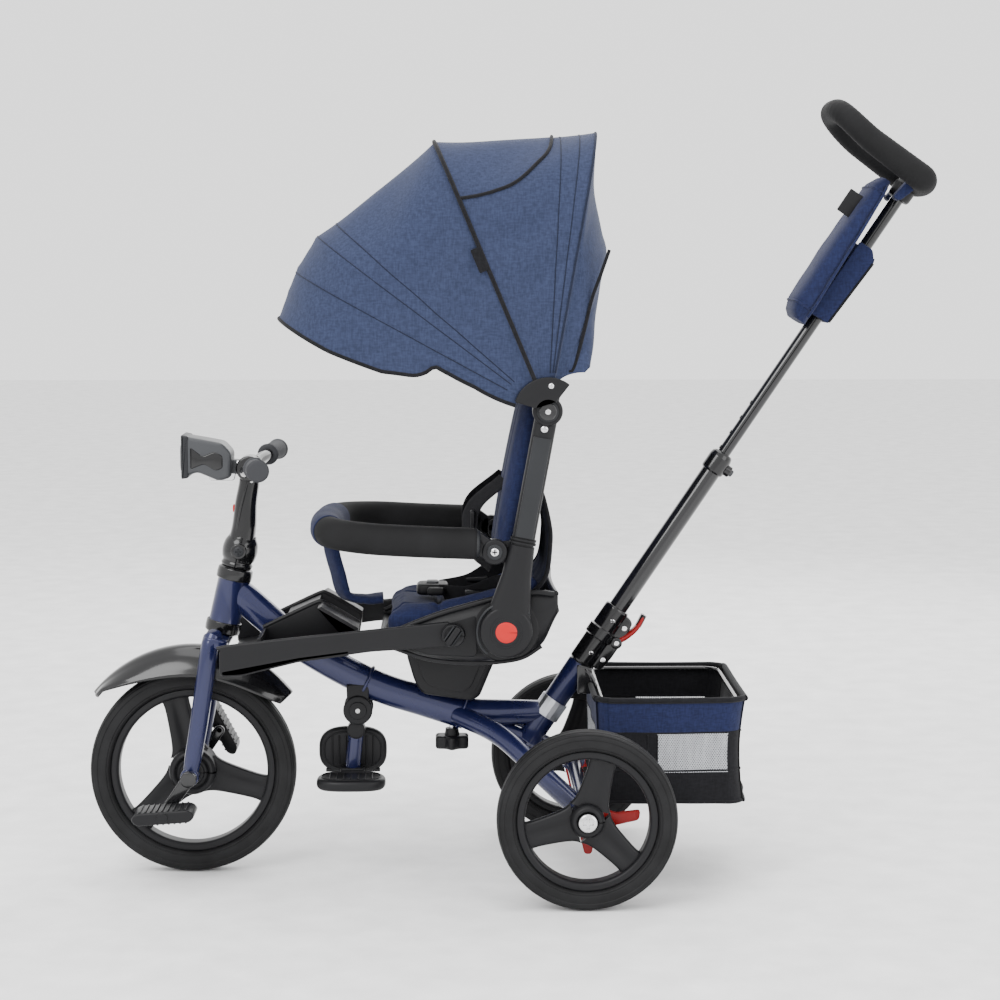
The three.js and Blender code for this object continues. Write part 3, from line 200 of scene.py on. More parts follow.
def prism(outline, low, high, edge=2.0, axes="yzx", steps=4):
    """An outline carried along an axis with quarter-round rims: at angle a the ring stands edge times
    one less the cosine of a in from the end, and edge times one less the sine of a inside the outline."""
    p = np.asarray(outline, float)
    step = np.roll(p, -1, 0) - np.roll(p, 1, 0)
    ahead = np.roll(p, -1, 0)
    turning = np.sign(np.sum(p[:, 0] * ahead[:, 1] - ahead[:, 0] * p[:, 1]))
    inward = unit(np.stack([-step[:, 1], step[:, 0]], axis=1)) * turning
    a = np.linspace(0, np.pi / 2, steps + 1)
    inset = edge * (1 - np.sin(a))
    rise = edge * (1 - np.cos(a))
    insets = np.concatenate([inset, inset[::-1]])
    places = np.concatenate([low + rise, high - rise[::-1]])
    order = ["xyz".index(letter) for letter in axes]
    grid = np.empty((len(places), len(p), 3))
    grid[..., order[0]] = p[:, 0] + insets[:, None] * inward[:, 0]
    grid[..., order[1]] = p[:, 1] + insets[:, None] * inward[:, 1]
    grid[..., order[2]] = places[:, None]
    return grid


def leaned(points, foot=POLE_FOOT, tilt=POLE_TILT):
    """Moves points out of a frame that stands at foot with its Z leaning back by tilt degrees."""
    x, y, z = np.moveaxis(np.asarray(points, float), -1, 0)
    c, s = np.cos(np.radians(tilt)), np.sin(np.radians(tilt))
    return np.stack([x, y * c + z * s, z * c - y * s], axis=-1) + foot


def in_head(points):
    return leaned(points, HEAD, HEAD_TILT)


def spun(points, degrees, centre=(0, 0, 0)):
    """Turns points about the X direction through a centre, from +Y towards +Z."""
    x, y, z = np.moveaxis(np.asarray(points, float) - centre, -1, 0)
    c, s = np.cos(np.radians(degrees)), np.sin(np.radians(degrees))
    return np.stack([x, y * c - z * s, y * s + z * c], axis=-1) + centre


class Shape:
    """Skins gathered into one mesh, each a grid of points."""

    def __init__(self):
        self.points, self.faces, self.marks, self.maps = [], [], [], []
        self.count = 0

    def skin(self, grid, wrap_u=False, wrap_v=False, cap=False, mark=0, uv=None):
        """Adds the quads of a grid, closed on itself where it wraps, with its first and last rows capped."""
        rows, columns = grid.shape[:2]
        number = np.arange(rows * columns).reshape(rows, columns) + self.count
        ends = [number[0].tolist(), number[-1, ::-1].tolist()] if cap else []
        if wrap_u:
            number = np.vstack([number, number[:1]])
        if wrap_v:
            number = np.hstack([number, number[:, :1]])
        quads = np.stack([number[:-1, :-1], number[1:, :-1], number[1:, 1:], number[:-1, 1:]],
                         -1).reshape(-1, 4)
        if uv is None:
            uv = np.zeros(number.shape + (2,))
        corner_uv = np.stack([uv[:-1, :-1], uv[1:, :-1], uv[1:, 1:], uv[:-1, 1:]], axis=2).reshape(-1, 2)
        marks = np.broadcast_to(mark, (number.shape[0] - 1, number.shape[1] - 1)).reshape(-1)
        self.points.append(grid.reshape(-1, 3))
        self.faces += quads.tolist() + ends
        self.maps += [corner_uv, np.zeros((sum(len(end) for end in ends), 2))]
        self.marks += [marks, np.full(len(ends), mark if np.ndim(mark) == 0 else 0)]
        self.count += rows * columns
        return self

    def solid(self, grid, mark=0):
        """Adds a grid whose rows are closed rings, with its first and last rings capped."""
        return self.skin(grid, wrap_v=True, cap=True, mark=mark)

    def tube(self, path, radius, sides=28, edge=None, reference=(0, 0, 1), mark=0, closed=False):
        """A round skin along a path, with rounded ends: near an end the radius drops by edge times one
        less the sine of an angle while the place moves by edge times one less its cosine."""
        path = np.asarray(path, float)
        radius = np.broadcast_to(radius, len(path)).astype(float)
        if closed:
            ends = np.vstack([path[-1:], path, path[:1]])
            grid = carry(ends, ring(sides) * radius[0], reference)[1:-1]
            return self.skin(grid, wrap_u=True, wrap_v=True, mark=mark)
        edge = 0.3 * radius.min() if edge is None else edge
        run = np.concatenate([[0], np.cumsum(np.linalg.norm(np.diff(path, axis=0), axis=1))])
        a = np.linspace(0, np.pi / 2, 5)
        rise = edge * (1 - np.cos(a))
        body = run[(run > edge * 1.01) & (run < run[-1] - edge * 1.01)]
        at = np.concatenate([rise, body, run[-1] - rise[::-1]])
        drop = edge * (1 - np.sin(a))
        drops = np.concatenate([drop, np.zeros(len(body)), drop[::-1]])
        spine = np.stack([np.interp(at, run, path[:, k]) for k in range(3)], axis=1)
        sizes = np.interp(at, run, radius) - drops
        grid = carry(spine, ring(sides)[None] * sizes[:, None, None], reference)
        return self.solid(grid, mark=mark)

    def bar(self, start, end, radius, end_radius=None, **more):
        """A straight round bar, or a cone."""
        path = line(start, end, 6)
        sizes = np.linspace(radius, radius if end_radius is None else end_radius, 6)
        along = path[-1] - path[0]
        reference = (1, 0, 0) if abs(along[0]) < 0.9 * np.linalg.norm(along) else (0, 0, 1)
        return self.tube(path, sizes, reference=reference, **more)

    def disc(self, centre, radius, x0, x1, edge=1.5, sides=64, mark=0):
        """A flat round button along X with rounded rims."""
        return self.solid(prism(ring(sides) * radius + np.array(centre)[-2:], x0, x1, edge), mark=mark)

    def slab(self, outline, low, high, edge=2.0, axes="yzx", move=None, mark=0):
        """An outline with thickness and rounded rims, moved by a function where one is given."""
        grid = prism(outline, low, high, edge, axes)
        return self.solid(grid if move is None else move(grid), mark=mark)

    def finish(self, name, materials, body=None, slot=None, replaces=(), angle=35, thick=0):
        """Makes the mesh: equal points merged, normals out, smooth faces with sharp edges past an angle."""
        mesh = bpy.data.meshes.new(name)
        mesh.from_pydata(metres(np.concatenate(self.points)).tolist(), [], self.faces)
        for material in materials:
            mesh.materials.append(material)
        mesh.uv_layers.new(name="UVMap").data.foreach_set("uv", np.concatenate(self.maps).ravel())
        mesh.polygons.foreach_set("material_index", np.concatenate(self.marks).astype(np.int32))
        tool = bmesh.new()
        tool.from_mesh(mesh)
        bmesh.ops.remove_doubles(tool, verts=tool.verts, dist=1e-6)
        bmesh.ops.recalc_face_normals(tool, faces=tool.faces)
        tool.to_mesh(mesh)
        tool.free()
        mesh.shade_smooth()
        mesh.set_sharp_from_angle(angle=np.radians(angle))
        piece = bpy.data.objects.new(name, mesh)
        bpy.context.scene.collection.objects.link(piece)
        if thick:
            wall = piece.modifiers.new("Thickness", "SOLIDIFY")
            wall.thickness = thick * MM
            wall.offset = 0
        if body:
            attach(piece, body)
        if replaces:
            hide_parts(*replaces)
        return piece


def apply_modifiers(piece):
    """Turns a piece's live modifiers into its mesh."""
    bpy.context.view_layer.update()
    evaluated = piece.evaluated_get(bpy.context.evaluated_depsgraph_get())
    mesh = bpy.data.meshes.new_from_object(evaluated)
    piece.modifiers.clear()
    old = piece.data
    piece.data = mesh
    bpy.data.meshes.remove(old)


def puff(piece, voxel=5, pressure=4, cap=8, frames=20):
    """Swells a closed piece as cloth under inner pressure, with no point moving further than cap."""
    remesh = piece.modifiers.new("Even faces", "REMESH")
    remesh.mode = "VOXEL"
    remesh.voxel_size = voxel * MM
    apply_modifiers(piece)
    start = np.array([v.co for v in piece.data.vertices])
    cloth = piece.modifiers.new("Cloth", "CLOTH")
    cloth.settings.use_pressure = True
    cloth.settings.uniform_pressure_force = pressure
    cloth.settings.effector_weights.gravity = 0
    cloth.point_cache.frame_start = 1
    cloth.point_cache.frame_end = frames
    for step in range(1, frames + 1):
        bpy.context.scene.frame_set(step)
    apply_modifiers(piece)
    swollen = np.array([v.co for v in piece.data.vertices])
    move = swollen - start
    far = np.linalg.norm(move, axis=1, keepdims=True)
    move *= np.minimum(1, cap * MM / np.maximum(far, 1e-9))
    piece.data.vertices.foreach_set("co", (start + move).ravel())
    bpy.context.scene.frame_set(1)
    smooth = piece.modifiers.new("Smooth", "SUBSURF")
    smooth.levels = 1
    smooth.render_levels = 1
    apply_modifiers(piece)
    piece.data.shade_smooth()


# ---- materials ----------------------------------------------------------------------------
class Wire:
    """A shader socket whose arithmetic adds Math nodes."""

    def __init__(self, tree, socket):
        self.tree, self.socket = tree, socket

    def math(self, operation, first, second=None):
        return self.tree.add("ShaderNodeMath", {0: first, 1: second}, operation=operation)

    def __add__(self, other):
        return self.math("ADD", self, other)

    def __radd__(self, other):
        return self.math("ADD", other, self)

    def __sub__(self, other):
        return self.math("SUBTRACT", self, other)

    def __rsub__(self, other):
        return self.math("SUBTRACT", other, self)

    def __mul__(self, other):
        return self.math("MULTIPLY", self, other)

    def __rmul__(self, other):
        return self.math("MULTIPLY", other, self)

    def sine(self):
        return self.math("SINE", self)

    def above(self, level):
        return self.math("GREATER_THAN", self, level)


class Tree:
    """A material's nodes, with its Principled shader ready."""

    def __init__(self, name):
        self.material = bpy.data.materials.new(name)
        self.material.use_nodes = True
        self.nodes = self.material.node_tree.nodes
        self.links = self.material.node_tree.links
        self.shader = self.nodes["Principled BSDF"]

    def add(self, kind, inputs=None, out=0, stops=(), **settings):
        """Adds a node: its settings first, then the values or links of its sockets."""
        node = self.nodes.new(kind)
        for key, value in settings.items():
            setattr(node, key, value)
        for index, (place, value) in enumerate(stops):
            ramp = node.color_ramp.elements
            stop = ramp[index] if index < 2 else ramp.new(place)
            stop.position = place
            stop.color = (value, value, value, 1)
        for key, value in (inputs or {}).items():
            self.feed(node.inputs[key], value)
        return Wire(self, node.outputs[out])

    def feed(self, socket, value):
        if isinstance(value, Wire):
            self.links.new(value.socket, socket)
        elif value is not None:
            socket.default_value = value

    def set(self, **values):
        for key, value in values.items():
            self.feed(self.shader.inputs[key.replace("_", " ")], value)

    def noise(self, scale, detail=2.0, stretch=(1, 1, 1)):
        """Cloudy values from 0 to 1 on object coordinates, with the size of a cloud about one over scale."""
        at = self.add("ShaderNodeTexCoord", out="Object")
        vector = self.add("ShaderNodeMapping", {"Vector": at, "Scale": [scale * s for s in stretch]})
        return self.add("ShaderNodeTexNoise", {"Vector": vector, "Scale": 1.0, "Detail": detail}, out="Fac")

    def ramp(self, value, *stops):
        return self.add("ShaderNodeValToRGB", {"Fac": value}, stops=stops)

    def mix(self, factor, first, second):
        """A colour between two colours."""
        return self.add("ShaderNodeMix", {0: factor, 6: first, 7: second}, out=2, data_type="RGBA")

    def bump(self, height, strength, distance):
        return self.add("ShaderNodeBump", {"Height": height, "Strength": strength, "Distance": distance * MM})


def shade(colour, factor):
    return tuple(min(1.0, c * factor) for c in tuple(colour)[:3]) + (1.0,)


def cloth(name, colour, contrast=0.3, weave=1.3, bump=0.35):
    """Heathered cloth: fine streaks along and across mix a light and a dark thread, with a woven bump of
    sine bands in all three directions."""
    t = Tree(name)
    streaks = t.noise(420, 3, (1, 0.25, 1)) * 0.5 + t.noise(420, 3, (1, 1, 0.22)) * 0.5
    heather = t.ramp(streaks, (0.38, 0.0), (0.62, 1.0))
    cloudy = t.noise(9, 2)
    blend = heather * 0.8 + cloudy * 0.2
    t.set(Base_Color=t.mix(blend, shade(colour, 1 - contrast), shade(colour, 1 + contrast)))
    at = t.add("ShaderNodeTexCoord", out="Object")
    bands = [t.add("ShaderNodeSeparateXYZ", {0: at}, out=axis) * (2 * np.pi / (weave * MM)) for axis in "XYZ"]
    woven = bands[0].sine() + bands[1].sine() + bands[2].sine()
    height = woven * 0.12 + t.noise(700, 2) * 0.6 + t.noise(60, 2) * 2.0
    t.set(Roughness=0.86 + cloudy * 0.1, Normal=t.bump(height, bump, 0.4))
    t.set(Specular_IOR_Level=0.15, Sheen_Weight=0.06, Sheen_Roughness=0.5)
    return t.material


def plastic(name, colour, roughness=0.45, grain=0.12, scale=1500, coat=0.0):
    """Moulded plastic: a fine leathery grain, with slow changes in gloss and tone."""
    t = Tree(name)
    slow = t.noise(14, 3)
    t.set(Base_Color=t.mix(slow, shade(colour, 0.82), shade(colour, 1.22)))
    t.set(Roughness=slow * 0.16 + (roughness - 0.08), Normal=t.bump(t.noise(scale, 2), grain, 0.25))
    t.set(Specular_IOR_Level=0.22, Coat_Weight=coat, Coat_Roughness=0.1)
    return t.material


def enamel(name, colour):
    """Gloss paint on steel tube: tiny flakes of a lighter tone under a clear coat with a slight ripple."""
    t = Tree(name)
    flakes = t.ramp(t.noise(2600, 1), (0.5, 0.0), (0.72, 1.0))
    t.set(Base_Color=t.mix(flakes * 0.5, shade(colour, 0.9), shade(colour, 1.9)))
    t.set(Metallic=0.35, Roughness=t.noise(20, 2) * 0.08 + 0.24, Normal=t.bump(t.noise(120, 2), 0.04, 0.3))
    t.set(Specular_IOR_Level=0.3, Coat_Weight=0.5, Coat_Roughness=0.06)
    return t.material


def rubber(name, colour, roughness=0.75, dust=1.6, scale=900, bump=0.3):
    """Foam rubber: fine pores, with paler dusty patches."""
    t = Tree(name)
    patches = t.ramp(t.noise(22, 5), (0.35, 0.0), (0.75, 1.0))
    t.set(Base_Color=t.mix(patches, shade(colour, 0.85), shade(colour, dust)))
    t.set(Roughness=patches * 0.12 + (roughness - 0.06), Normal=t.bump(t.noise(scale, 3), bump, 0.35))
    t.set(Specular_IOR_Level=0.18)
    return t.material


def steel(name, colour=(0.72, 0.72, 0.73), roughness=0.22):
    """Bright steel with fine turning lines and small smears."""
    t = Tree(name)
    smear = t.noise(40, 4)
    t.set(Base_Color=t.mix(smear, shade(colour, 0.8), shade(colour, 1.1)), Metallic=1.0)
    t.set(Roughness=smear * 0.14 + (roughness - 0.07), Normal=t.bump(t.noise(900, 2, (1, 0.1, 1)), 0.06, 0.1))
    return t.material


def netting(name, colour, pitch=3.4):
    """Open mesh cloth on the piece's own UV map in millimetres: round holes in offset rows let light
    through, and pale threads run between them."""
    t = Tree(name)
    uv = t.add("ShaderNodeUVMap", uv_map="UVMap")
    u = t.add("ShaderNodeSeparateXYZ", {0: uv}, out="X") * (2 * np.pi / pitch)
    v = t.add("ShaderNodeSeparateXYZ", {0: uv}, out="Y") * (2 * np.pi / (1.5 * pitch))
    holes = (u.sine() * v.sine()).above(0.3)
    streak = t.noise(500, 2, (0.3, 0.3, 0.05))
    t.set(Base_Color=t.mix(streak, shade(colour, 0.75), shade(colour, 1.2)), Roughness=0.8)
    t.set(Alpha=1 - holes * 0.85, Normal=t.bump(u.sine() * v.sine(), 0.3, 0.4))
    return t.material


# ---- sizes and colours that a user would change -------------------------------------------
def colour_property(label, description, default):
    return FloatVectorProperty(name=label, description=description, subtype="COLOR", size=3, min=0, max=1,
                               default=default)


class TricycleColours(bpy.types.PropertyGroup):
    paint: colour_property("Frame paint", "Gloss paint of the steel frame", (0.009, 0.012, 0.055))
    canopy: colour_property("Canopy cloth", "Heathered cloth of the canopy", (0.026, 0.034, 0.070))
    cloth: colour_property("Seat cloth", "Heathered cloth of seat, bag and basket", (0.011, 0.015, 0.048))
    plastic: colour_property("Black plastic", "Moulded parts", (0.006, 0.006, 0.007))
    grey: colour_property("Grey plastic", "Light unit", (0.048, 0.050, 0.054))
    red: colour_property("Red plastic", "Buttons and brake", (0.45, 0.012, 0.012))


class TricycleSizes(bpy.types.PropertyGroup):
    piping: FloatProperty(name="Piping radius", description="Radius of the black edge piping, in millimetres",
                          default=2.4, min=1, max=5)
    cushion_swell: FloatProperty(name="Cushion swell",
                                 description="How far padding may swell, in millimetres",
                                 default=7, min=1, max=15)
    cloth_thickness: FloatProperty(name="Cloth thickness", description="Canopy cloth, in millimetres",
                                   default=1.4, min=0.5, max=4)
    tread_groove: FloatProperty(name="Tread groove",
                                description="Depth of the tyre's grooves, in millimetres",
                                default=1.0, min=0, max=2.5)


class Finishes:
    """The tricycle's materials, each made once."""

    made = {}

    @classmethod
    def get(cls, name):
        if name not in cls.made:
            c = bpy.context.scene.tricycle_colours
            makers = {
                "paint": lambda: enamel("navy enamel", c.paint),
                "plastic": lambda: plastic("black grained plastic", c.plastic, 0.42),
                "gloss": lambda: plastic("black gloss plastic", shade(c.plastic, 0.6), 0.2, 0.03, 600, 0.5),
                "grey": lambda: plastic("grey plastic", c.grey, 0.36, 0.05),
                "charcoal": lambda: plastic("charcoal plastic", (0.016, 0.017, 0.019), 0.4, 0.08),
                "red": lambda: plastic("red plastic", c.red, 0.33, 0.05),
                "brake red": lambda: plastic("brake red plastic", shade(c.red, 0.62), 0.3, 0.05),
                "dark red": lambda: plastic("dark red plastic", shade(c.red, 0.5), 0.3, 0.05),
                "white": lambda: plastic("white plastic", (0.6, 0.6, 0.6), 0.35, 0.05),
                "tyre": lambda: rubber("tyre foam rubber", (0.0075, 0.0075, 0.008), 0.62, 1.9, 1100, 0.25),
                "foam": lambda: rubber("black foam", (0.007, 0.007, 0.0075), 0.8, 1.6, 1500, 0.5),
                "grip": lambda: rubber("grey grip rubber", (0.035, 0.036, 0.04), 0.6, 1.2, 900, 0.2),
                "black steel": lambda: plastic("black enamelled steel", (0.006, 0.006, 0.007), 0.2, 0.03,
                                               300, 0.7),
                "steel": lambda: steel("bright steel"),
                "sleeve": lambda: steel("silver reflector sleeve", (0.55, 0.56, 0.6), 0.35),
                "canopy": lambda: cloth("canopy denim blue cloth", c.canopy, 0.26),
                "seam_shade": lambda: cloth("canopy seam cloth", shade(c.canopy, 0.42), 0.2),
                # The seam cloth is the canopy cloth at 0.42 of its tone. This is painted shade, standing for
                # the dark crease lines along the canopy's seams and its visor fold.
                "cloth": lambda: cloth("navy heather cloth", c.cloth, 0.3),
                "webbing": lambda: cloth("black webbing", (0.007, 0.007, 0.0085), 0.35, 1.6, 0.5),
                "netting": lambda: netting("pale grey netting", (0.36, 0.37, 0.39)),
                "floor": lambda: plastic("pale floor", (0.88, 0.88, 0.88), 0.85, 0.02, 60),
            }
            cls.made[name] = makers[name]()
        return cls.made[name]


def finishes(*names):
    return [Finishes.get(name) for name in names]


SIDES = (("left", 1), ("right", -1))


def side_span(sign, inner, outer):
    """The two X ends of a piece on one side of the tricycle, lowest first."""
    return sorted((sign * inner, sign * outer))


def screw_head(shape, centre, radius, sign, height=2.5, slot=1.4, mark=0):
    """A domed screw head facing X: the height over a disc is a shallow dome less a cross-shaped slot."""
    u, v = np.meshgrid(np.linspace(-1, 1, 41), np.linspace(-1, 1, 41), indexing="ij")
    y = radius * u * np.sqrt(1 - v**2 / 2)
    z = radius * v * np.sqrt(1 - u**2 / 2)
    out = np.hypot(y, z) / radius
    cross = (np.minimum(np.abs(y), np.abs(z)) < 0.14 * radius) & (out < 0.6)
    x = height * np.sqrt(np.clip(1.03 - out**2, 0, 1)) - slot * cross
    shape.skin(np.stack([sign * x, y, z], axis=-1) + centre, mark=mark)
    return shape


# ---- wheels -------------------------------------------------------------------------------
def tyre_skin(shape, centre, outer, inner, width, groove):
    """A rounded-square loop turned about the axle: radius and width follow powers of cosine and sine,
    less narrow bell-shaped grooves at set places on the walls and the tread."""
    turn = ring(144)
    r = (outer + inner) / 2 + (outer - inner) / 2 * power(turn[:, 0], 0.5)
    x = width / 2 * power(turn[:, 1], 0.62)
    share = (r - inner) / (outer - inner)
    wall = sum(np.exp(-(((share - place) / 0.022) ** 2)) for place in (0.2, 0.52, 0.6, 0.84))
    tread = sum(np.exp(-(((x / width - place) / 0.03) ** 2)) for place in (-0.3, 0, 0.3))
    x -= np.sign(x) * groove * wall * (np.abs(turn[:, 0]) < 0.97)
    r -= groove * tread * (turn[:, 0] > 0.7)
    shape.skin(lathe(np.stack([r, x], axis=1), centre, sides=180), wrap_u=True, wrap_v=True)


def spoke_skin(shape, centre, inner, outer, angle, root_width=46, tip_width=33, thickness=17):
    """A spoke from hub to rim: its width narrows along the radius and flares at both ends, and each
    broad face has a valley along its middle, so that two ridges stand beside it."""
    s = np.linspace(0, 1, 28)[:, None]
    turn = ring(64)[None]
    width = root_width + (tip_width - root_width) * s + 12 * np.exp(-s / 0.1) + 14 * np.exp(-(1 - s) / 0.09)
    q = power(turn[..., 0], 0.8)
    valley = 1 - 0.5 * np.exp(-((q / 0.42) ** 2)) * np.sin(np.pi * np.clip(s, 0.02, 0.98)) ** 0.5
    x = thickness / 2 * power(turn[..., 1], 0.45) * valley
    grid = np.stack([x, np.broadcast_to(inner + (outer - inner) * s, x.shape), width / 2 * q], axis=-1)
    shape.solid(spun(grid, angle) + centre)


def wheel_skin(shape, centre, seat, lip, width, hub, hub_half, first_angle):
    """The moulded wheel: a rim ring, three spokes and a stepped hub."""
    half = 0.36 * width
    rim = [(lip, -half + 4), (lip + 3, -half), (seat, -half), (seat, half), (lip + 3, half), (lip, half - 4)]
    shape.skin(lathe(rounded(rim, 3), centre, sides=144), wrap_u=True, wrap_v=True)
    for turn in (0, 120, 240):
        spoke_skin(shape, centre, hub * 0.7, (lip + seat) / 2, first_angle + turn)
    body = [(0, -hub_half), (hub - 5, -hub_half), (hub, -hub_half + 6), (hub, hub_half - 6),
            (hub - 5, hub_half),
            (hub - 9, hub_half), (hub - 11, hub_half - 3), (hub - 16, hub_half - 3), (hub - 17, hub_half + 1),
            (0, hub_half + 1)]
    profile = rounded(body, 2.5, 3, closed=False)
    shape.skin(lathe(profile if centre[0] >= 0 else profile * (1, -1), centre))


class TRICYCLE_OT_wheels(bpy.types.Operator):
    """Make the three tyres and their moulded wheels, with the rear axle's caps and bolts"""

    bl_idname = "tricycle.wheels"
    bl_label = "Wheels"

    def execute(self, context):
        groove = context.scene.tricycle_sizes.tread_groove
        wheels = [("front", "front_wheel", FRONT_AXLE, 150, 119, 44, 34, 30, 104)]
        for side, sign in SIDES:
            wheels.append((f"rear_{side}", f"rear_wheel_{side}", pivot(f"rear_wheel_{side}_spin"), 125, 97,
                           42, 24, 20, 75))
        for name, body, centre, outer, bead, width, hub, hub_half, angle in wheels:
            node = name.replace("rear_", "rear_{}_") if name != "front" else "front_{}"
            tyre = Shape()
            tyre_skin(tyre, centre, outer, bead, width, groove)
            tyre.finish(f"{name}_tyre_foam", finishes("tyre"), body, "tyre_rubber", [node.format("tyre")])
            rim = Shape()
            wheel_skin(rim, centre, bead + 1, bead - 11, width, hub, hub_half, angle)
            rim.finish(f"{name}_moulded_wheel", finishes("plastic"), body, "black_plastic",
                       [node.format("rim")])
        for side, sign in SIDES:
            x, y, z = pivot(f"rear_wheel_{side}_spin")
            cap = Shape()
            cap.skin(lathe([(0, sign * 20), (13, sign * 20), (13.5, sign * 23), (12.5, sign * 25.5),
                            (0, sign * 26)],
                           (x, y, z)))
            screw_head(cap, (x + sign * 25, y, z), 12.4, sign, 3.2, 2.0)
            cap.finish(f"rear_bolt_{side}", finishes("steel"), "chassis", "bright_steel",
                       [f"wheel_bolt_{side}"])
        return {"FINISHED"}


# ---- pedals and cranks --------------------------------------------------------------------
class TRICYCLE_OT_pedals(bpy.types.Operator):
    """Make the crankshaft and the two ribbed pedals"""

    bl_idname = "tricycle.pedals"
    bl_label = "Cranks and pedals"

    def execute(self, context):
        cranks = Shape()
        cranks.bar(FRONT_AXLE - (81, 0, 0), FRONT_AXLE + (81, 0, 0), 6)
        for side, sign in SIDES:
            pin = pivot(f"pedal_{side}_spin")
            hub = FRONT_AXLE + (sign * 76, 0, 0)
            reach = pin - hub
            angle = np.degrees(np.arctan2(reach[2], reach[1]))
            arm = rounded([(-11, -10), (56, -8), (60, 0), (56, 8), (-11, 10)], 7)
            cranks.slab(arm, -5, 5, 2.2, move=lambda grid: spun(grid, angle) + hub)
            cranks.disc(hub, 11.5, hub[0] - 6.5, hub[0] + 6.5)
            cranks.bar((sign * 71, pin[1], pin[2]), (sign * 141, pin[1], pin[2]), 5)
            tilt = 4 if sign > 0 else -62
            tread = rounded([(-46, 0), (-38, -9), (38, -9), (46, 0), (38, 9), (-38, 9)], 6)
            pedal = Shape().slab(tread, -28, 28, 3, move=lambda grid: spun(grid, tilt) + pin)
            for y in np.linspace(-32, 32, 9):
                for z in (-9, 9):
                    ends = spun([(-24, y, z), (24, y, z)], tilt) + pin
                    pedal.bar(ends[0], ends[1], 1.6, sides=12)
            pedal.disc(pin + (sign * 28, 0, 0), 8, pin[0] + sign * 24 - 6, pin[0] + sign * 24 + 6)
            pedal.finish(f"ribbed_pedal_{side}", finishes("plastic"), f"pedal_{side}", "black_plastic",
                         [f"pedal_{side}"])
        cranks.finish("cranks", finishes("black steel"), "front_wheel", "black_steel", ["crankshaft"])
        return {"FINISHED"}


# ---- steering -----------------------------------------------------------------------------
class TRICYCLE_OT_fork(bpy.types.Operator):
    """Make the painted fork with its crown and the crowned front mudguard"""

    bl_idname = "tricycle.fork"
    bl_label = "Fork and mudguard"

    def execute(self, context):
        fork = Shape()
        c, s = np.cos(np.radians(HEAD_TILT)), np.sin(np.radians(HEAD_TILT))
        gap = FRONT_AXLE - HEAD
        foot = np.array([0, gap[1] * c - gap[2] * s, gap[1] * s + gap[2] * c])
        for _, sign in SIDES:
            bottom = foot + (sign * 56, 0, 0)
            top = np.array([sign * 56, -9, -20])
            path = curve([bottom, bottom * 0.6 + top * 0.4 + (0, 1, 0), top, top + (-sign * 16, 4, 10)], 30)
            fork.tube(in_head(path), np.interp(np.linspace(0, 1, 30), [0, 0.12, 0.4, 1],
                                               [10.5, 12.5, 13.2, 13]),
                      reference=(1, 0, 0.01))
            fork.disc(FRONT_AXLE, 13.5, sign * 56 - 11, sign * 56 + 11, 5)
        crown = box_outline(134, 36, 14)
        fork.solid(in_head(prism(crown + (0, -3), -22, -6.5, 4, "xyz")))
        fork.skin(in_head(lathe([(0, -8), (12, -8), (12, 104), (0, 104)], axis="z")))
        fork.finish("painted_fork", finishes("paint"), "steering", "frame_paint", ["fork"])

        u, v = np.meshgrid(np.linspace(0, 1, 97), np.linspace(-1, 1, 41), indexing="ij")
        angle = np.radians(38 + 103 * u)
        tip = 1 - 0.42 * np.abs(2 * u - 1) ** 9
        drop = 8 + 30 * (1 - np.abs(2 * u - 0.86) ** 2.6)
        across = v * tip
        rolled = np.exp(-(((np.abs(v) - 0.97) / 0.05) ** 2))
        raised = 2.2 * np.exp(-((v / 0.42) ** 6))
        r = 181 + raised - np.clip(drop, 4, 38) * np.abs(v) ** 2.4 - 2 * rolled
        guard = Shape()
        guard.skin(np.stack([39 * across, FRONT_AXLE[1] + r * np.cos(angle),
                             FRONT_AXLE[2] + r * np.sin(angle)], -1))
        guard.finish("mudguard", finishes("gloss"), "steering", "black_plastic", ["front_fender"], thick=3)
        return {"FINISHED"}


BAR_MIDDLE = np.array([0.0, -478.0, 592.0])


def bar_path(count=90):
    half = [(0, -478, 592), (62, -478, 592), (118, -462, 601), (192, -451, 604)]
    points = [(-x, y, z) for x, y, z in half[:0:-1]] + half
    return curve(points, count)


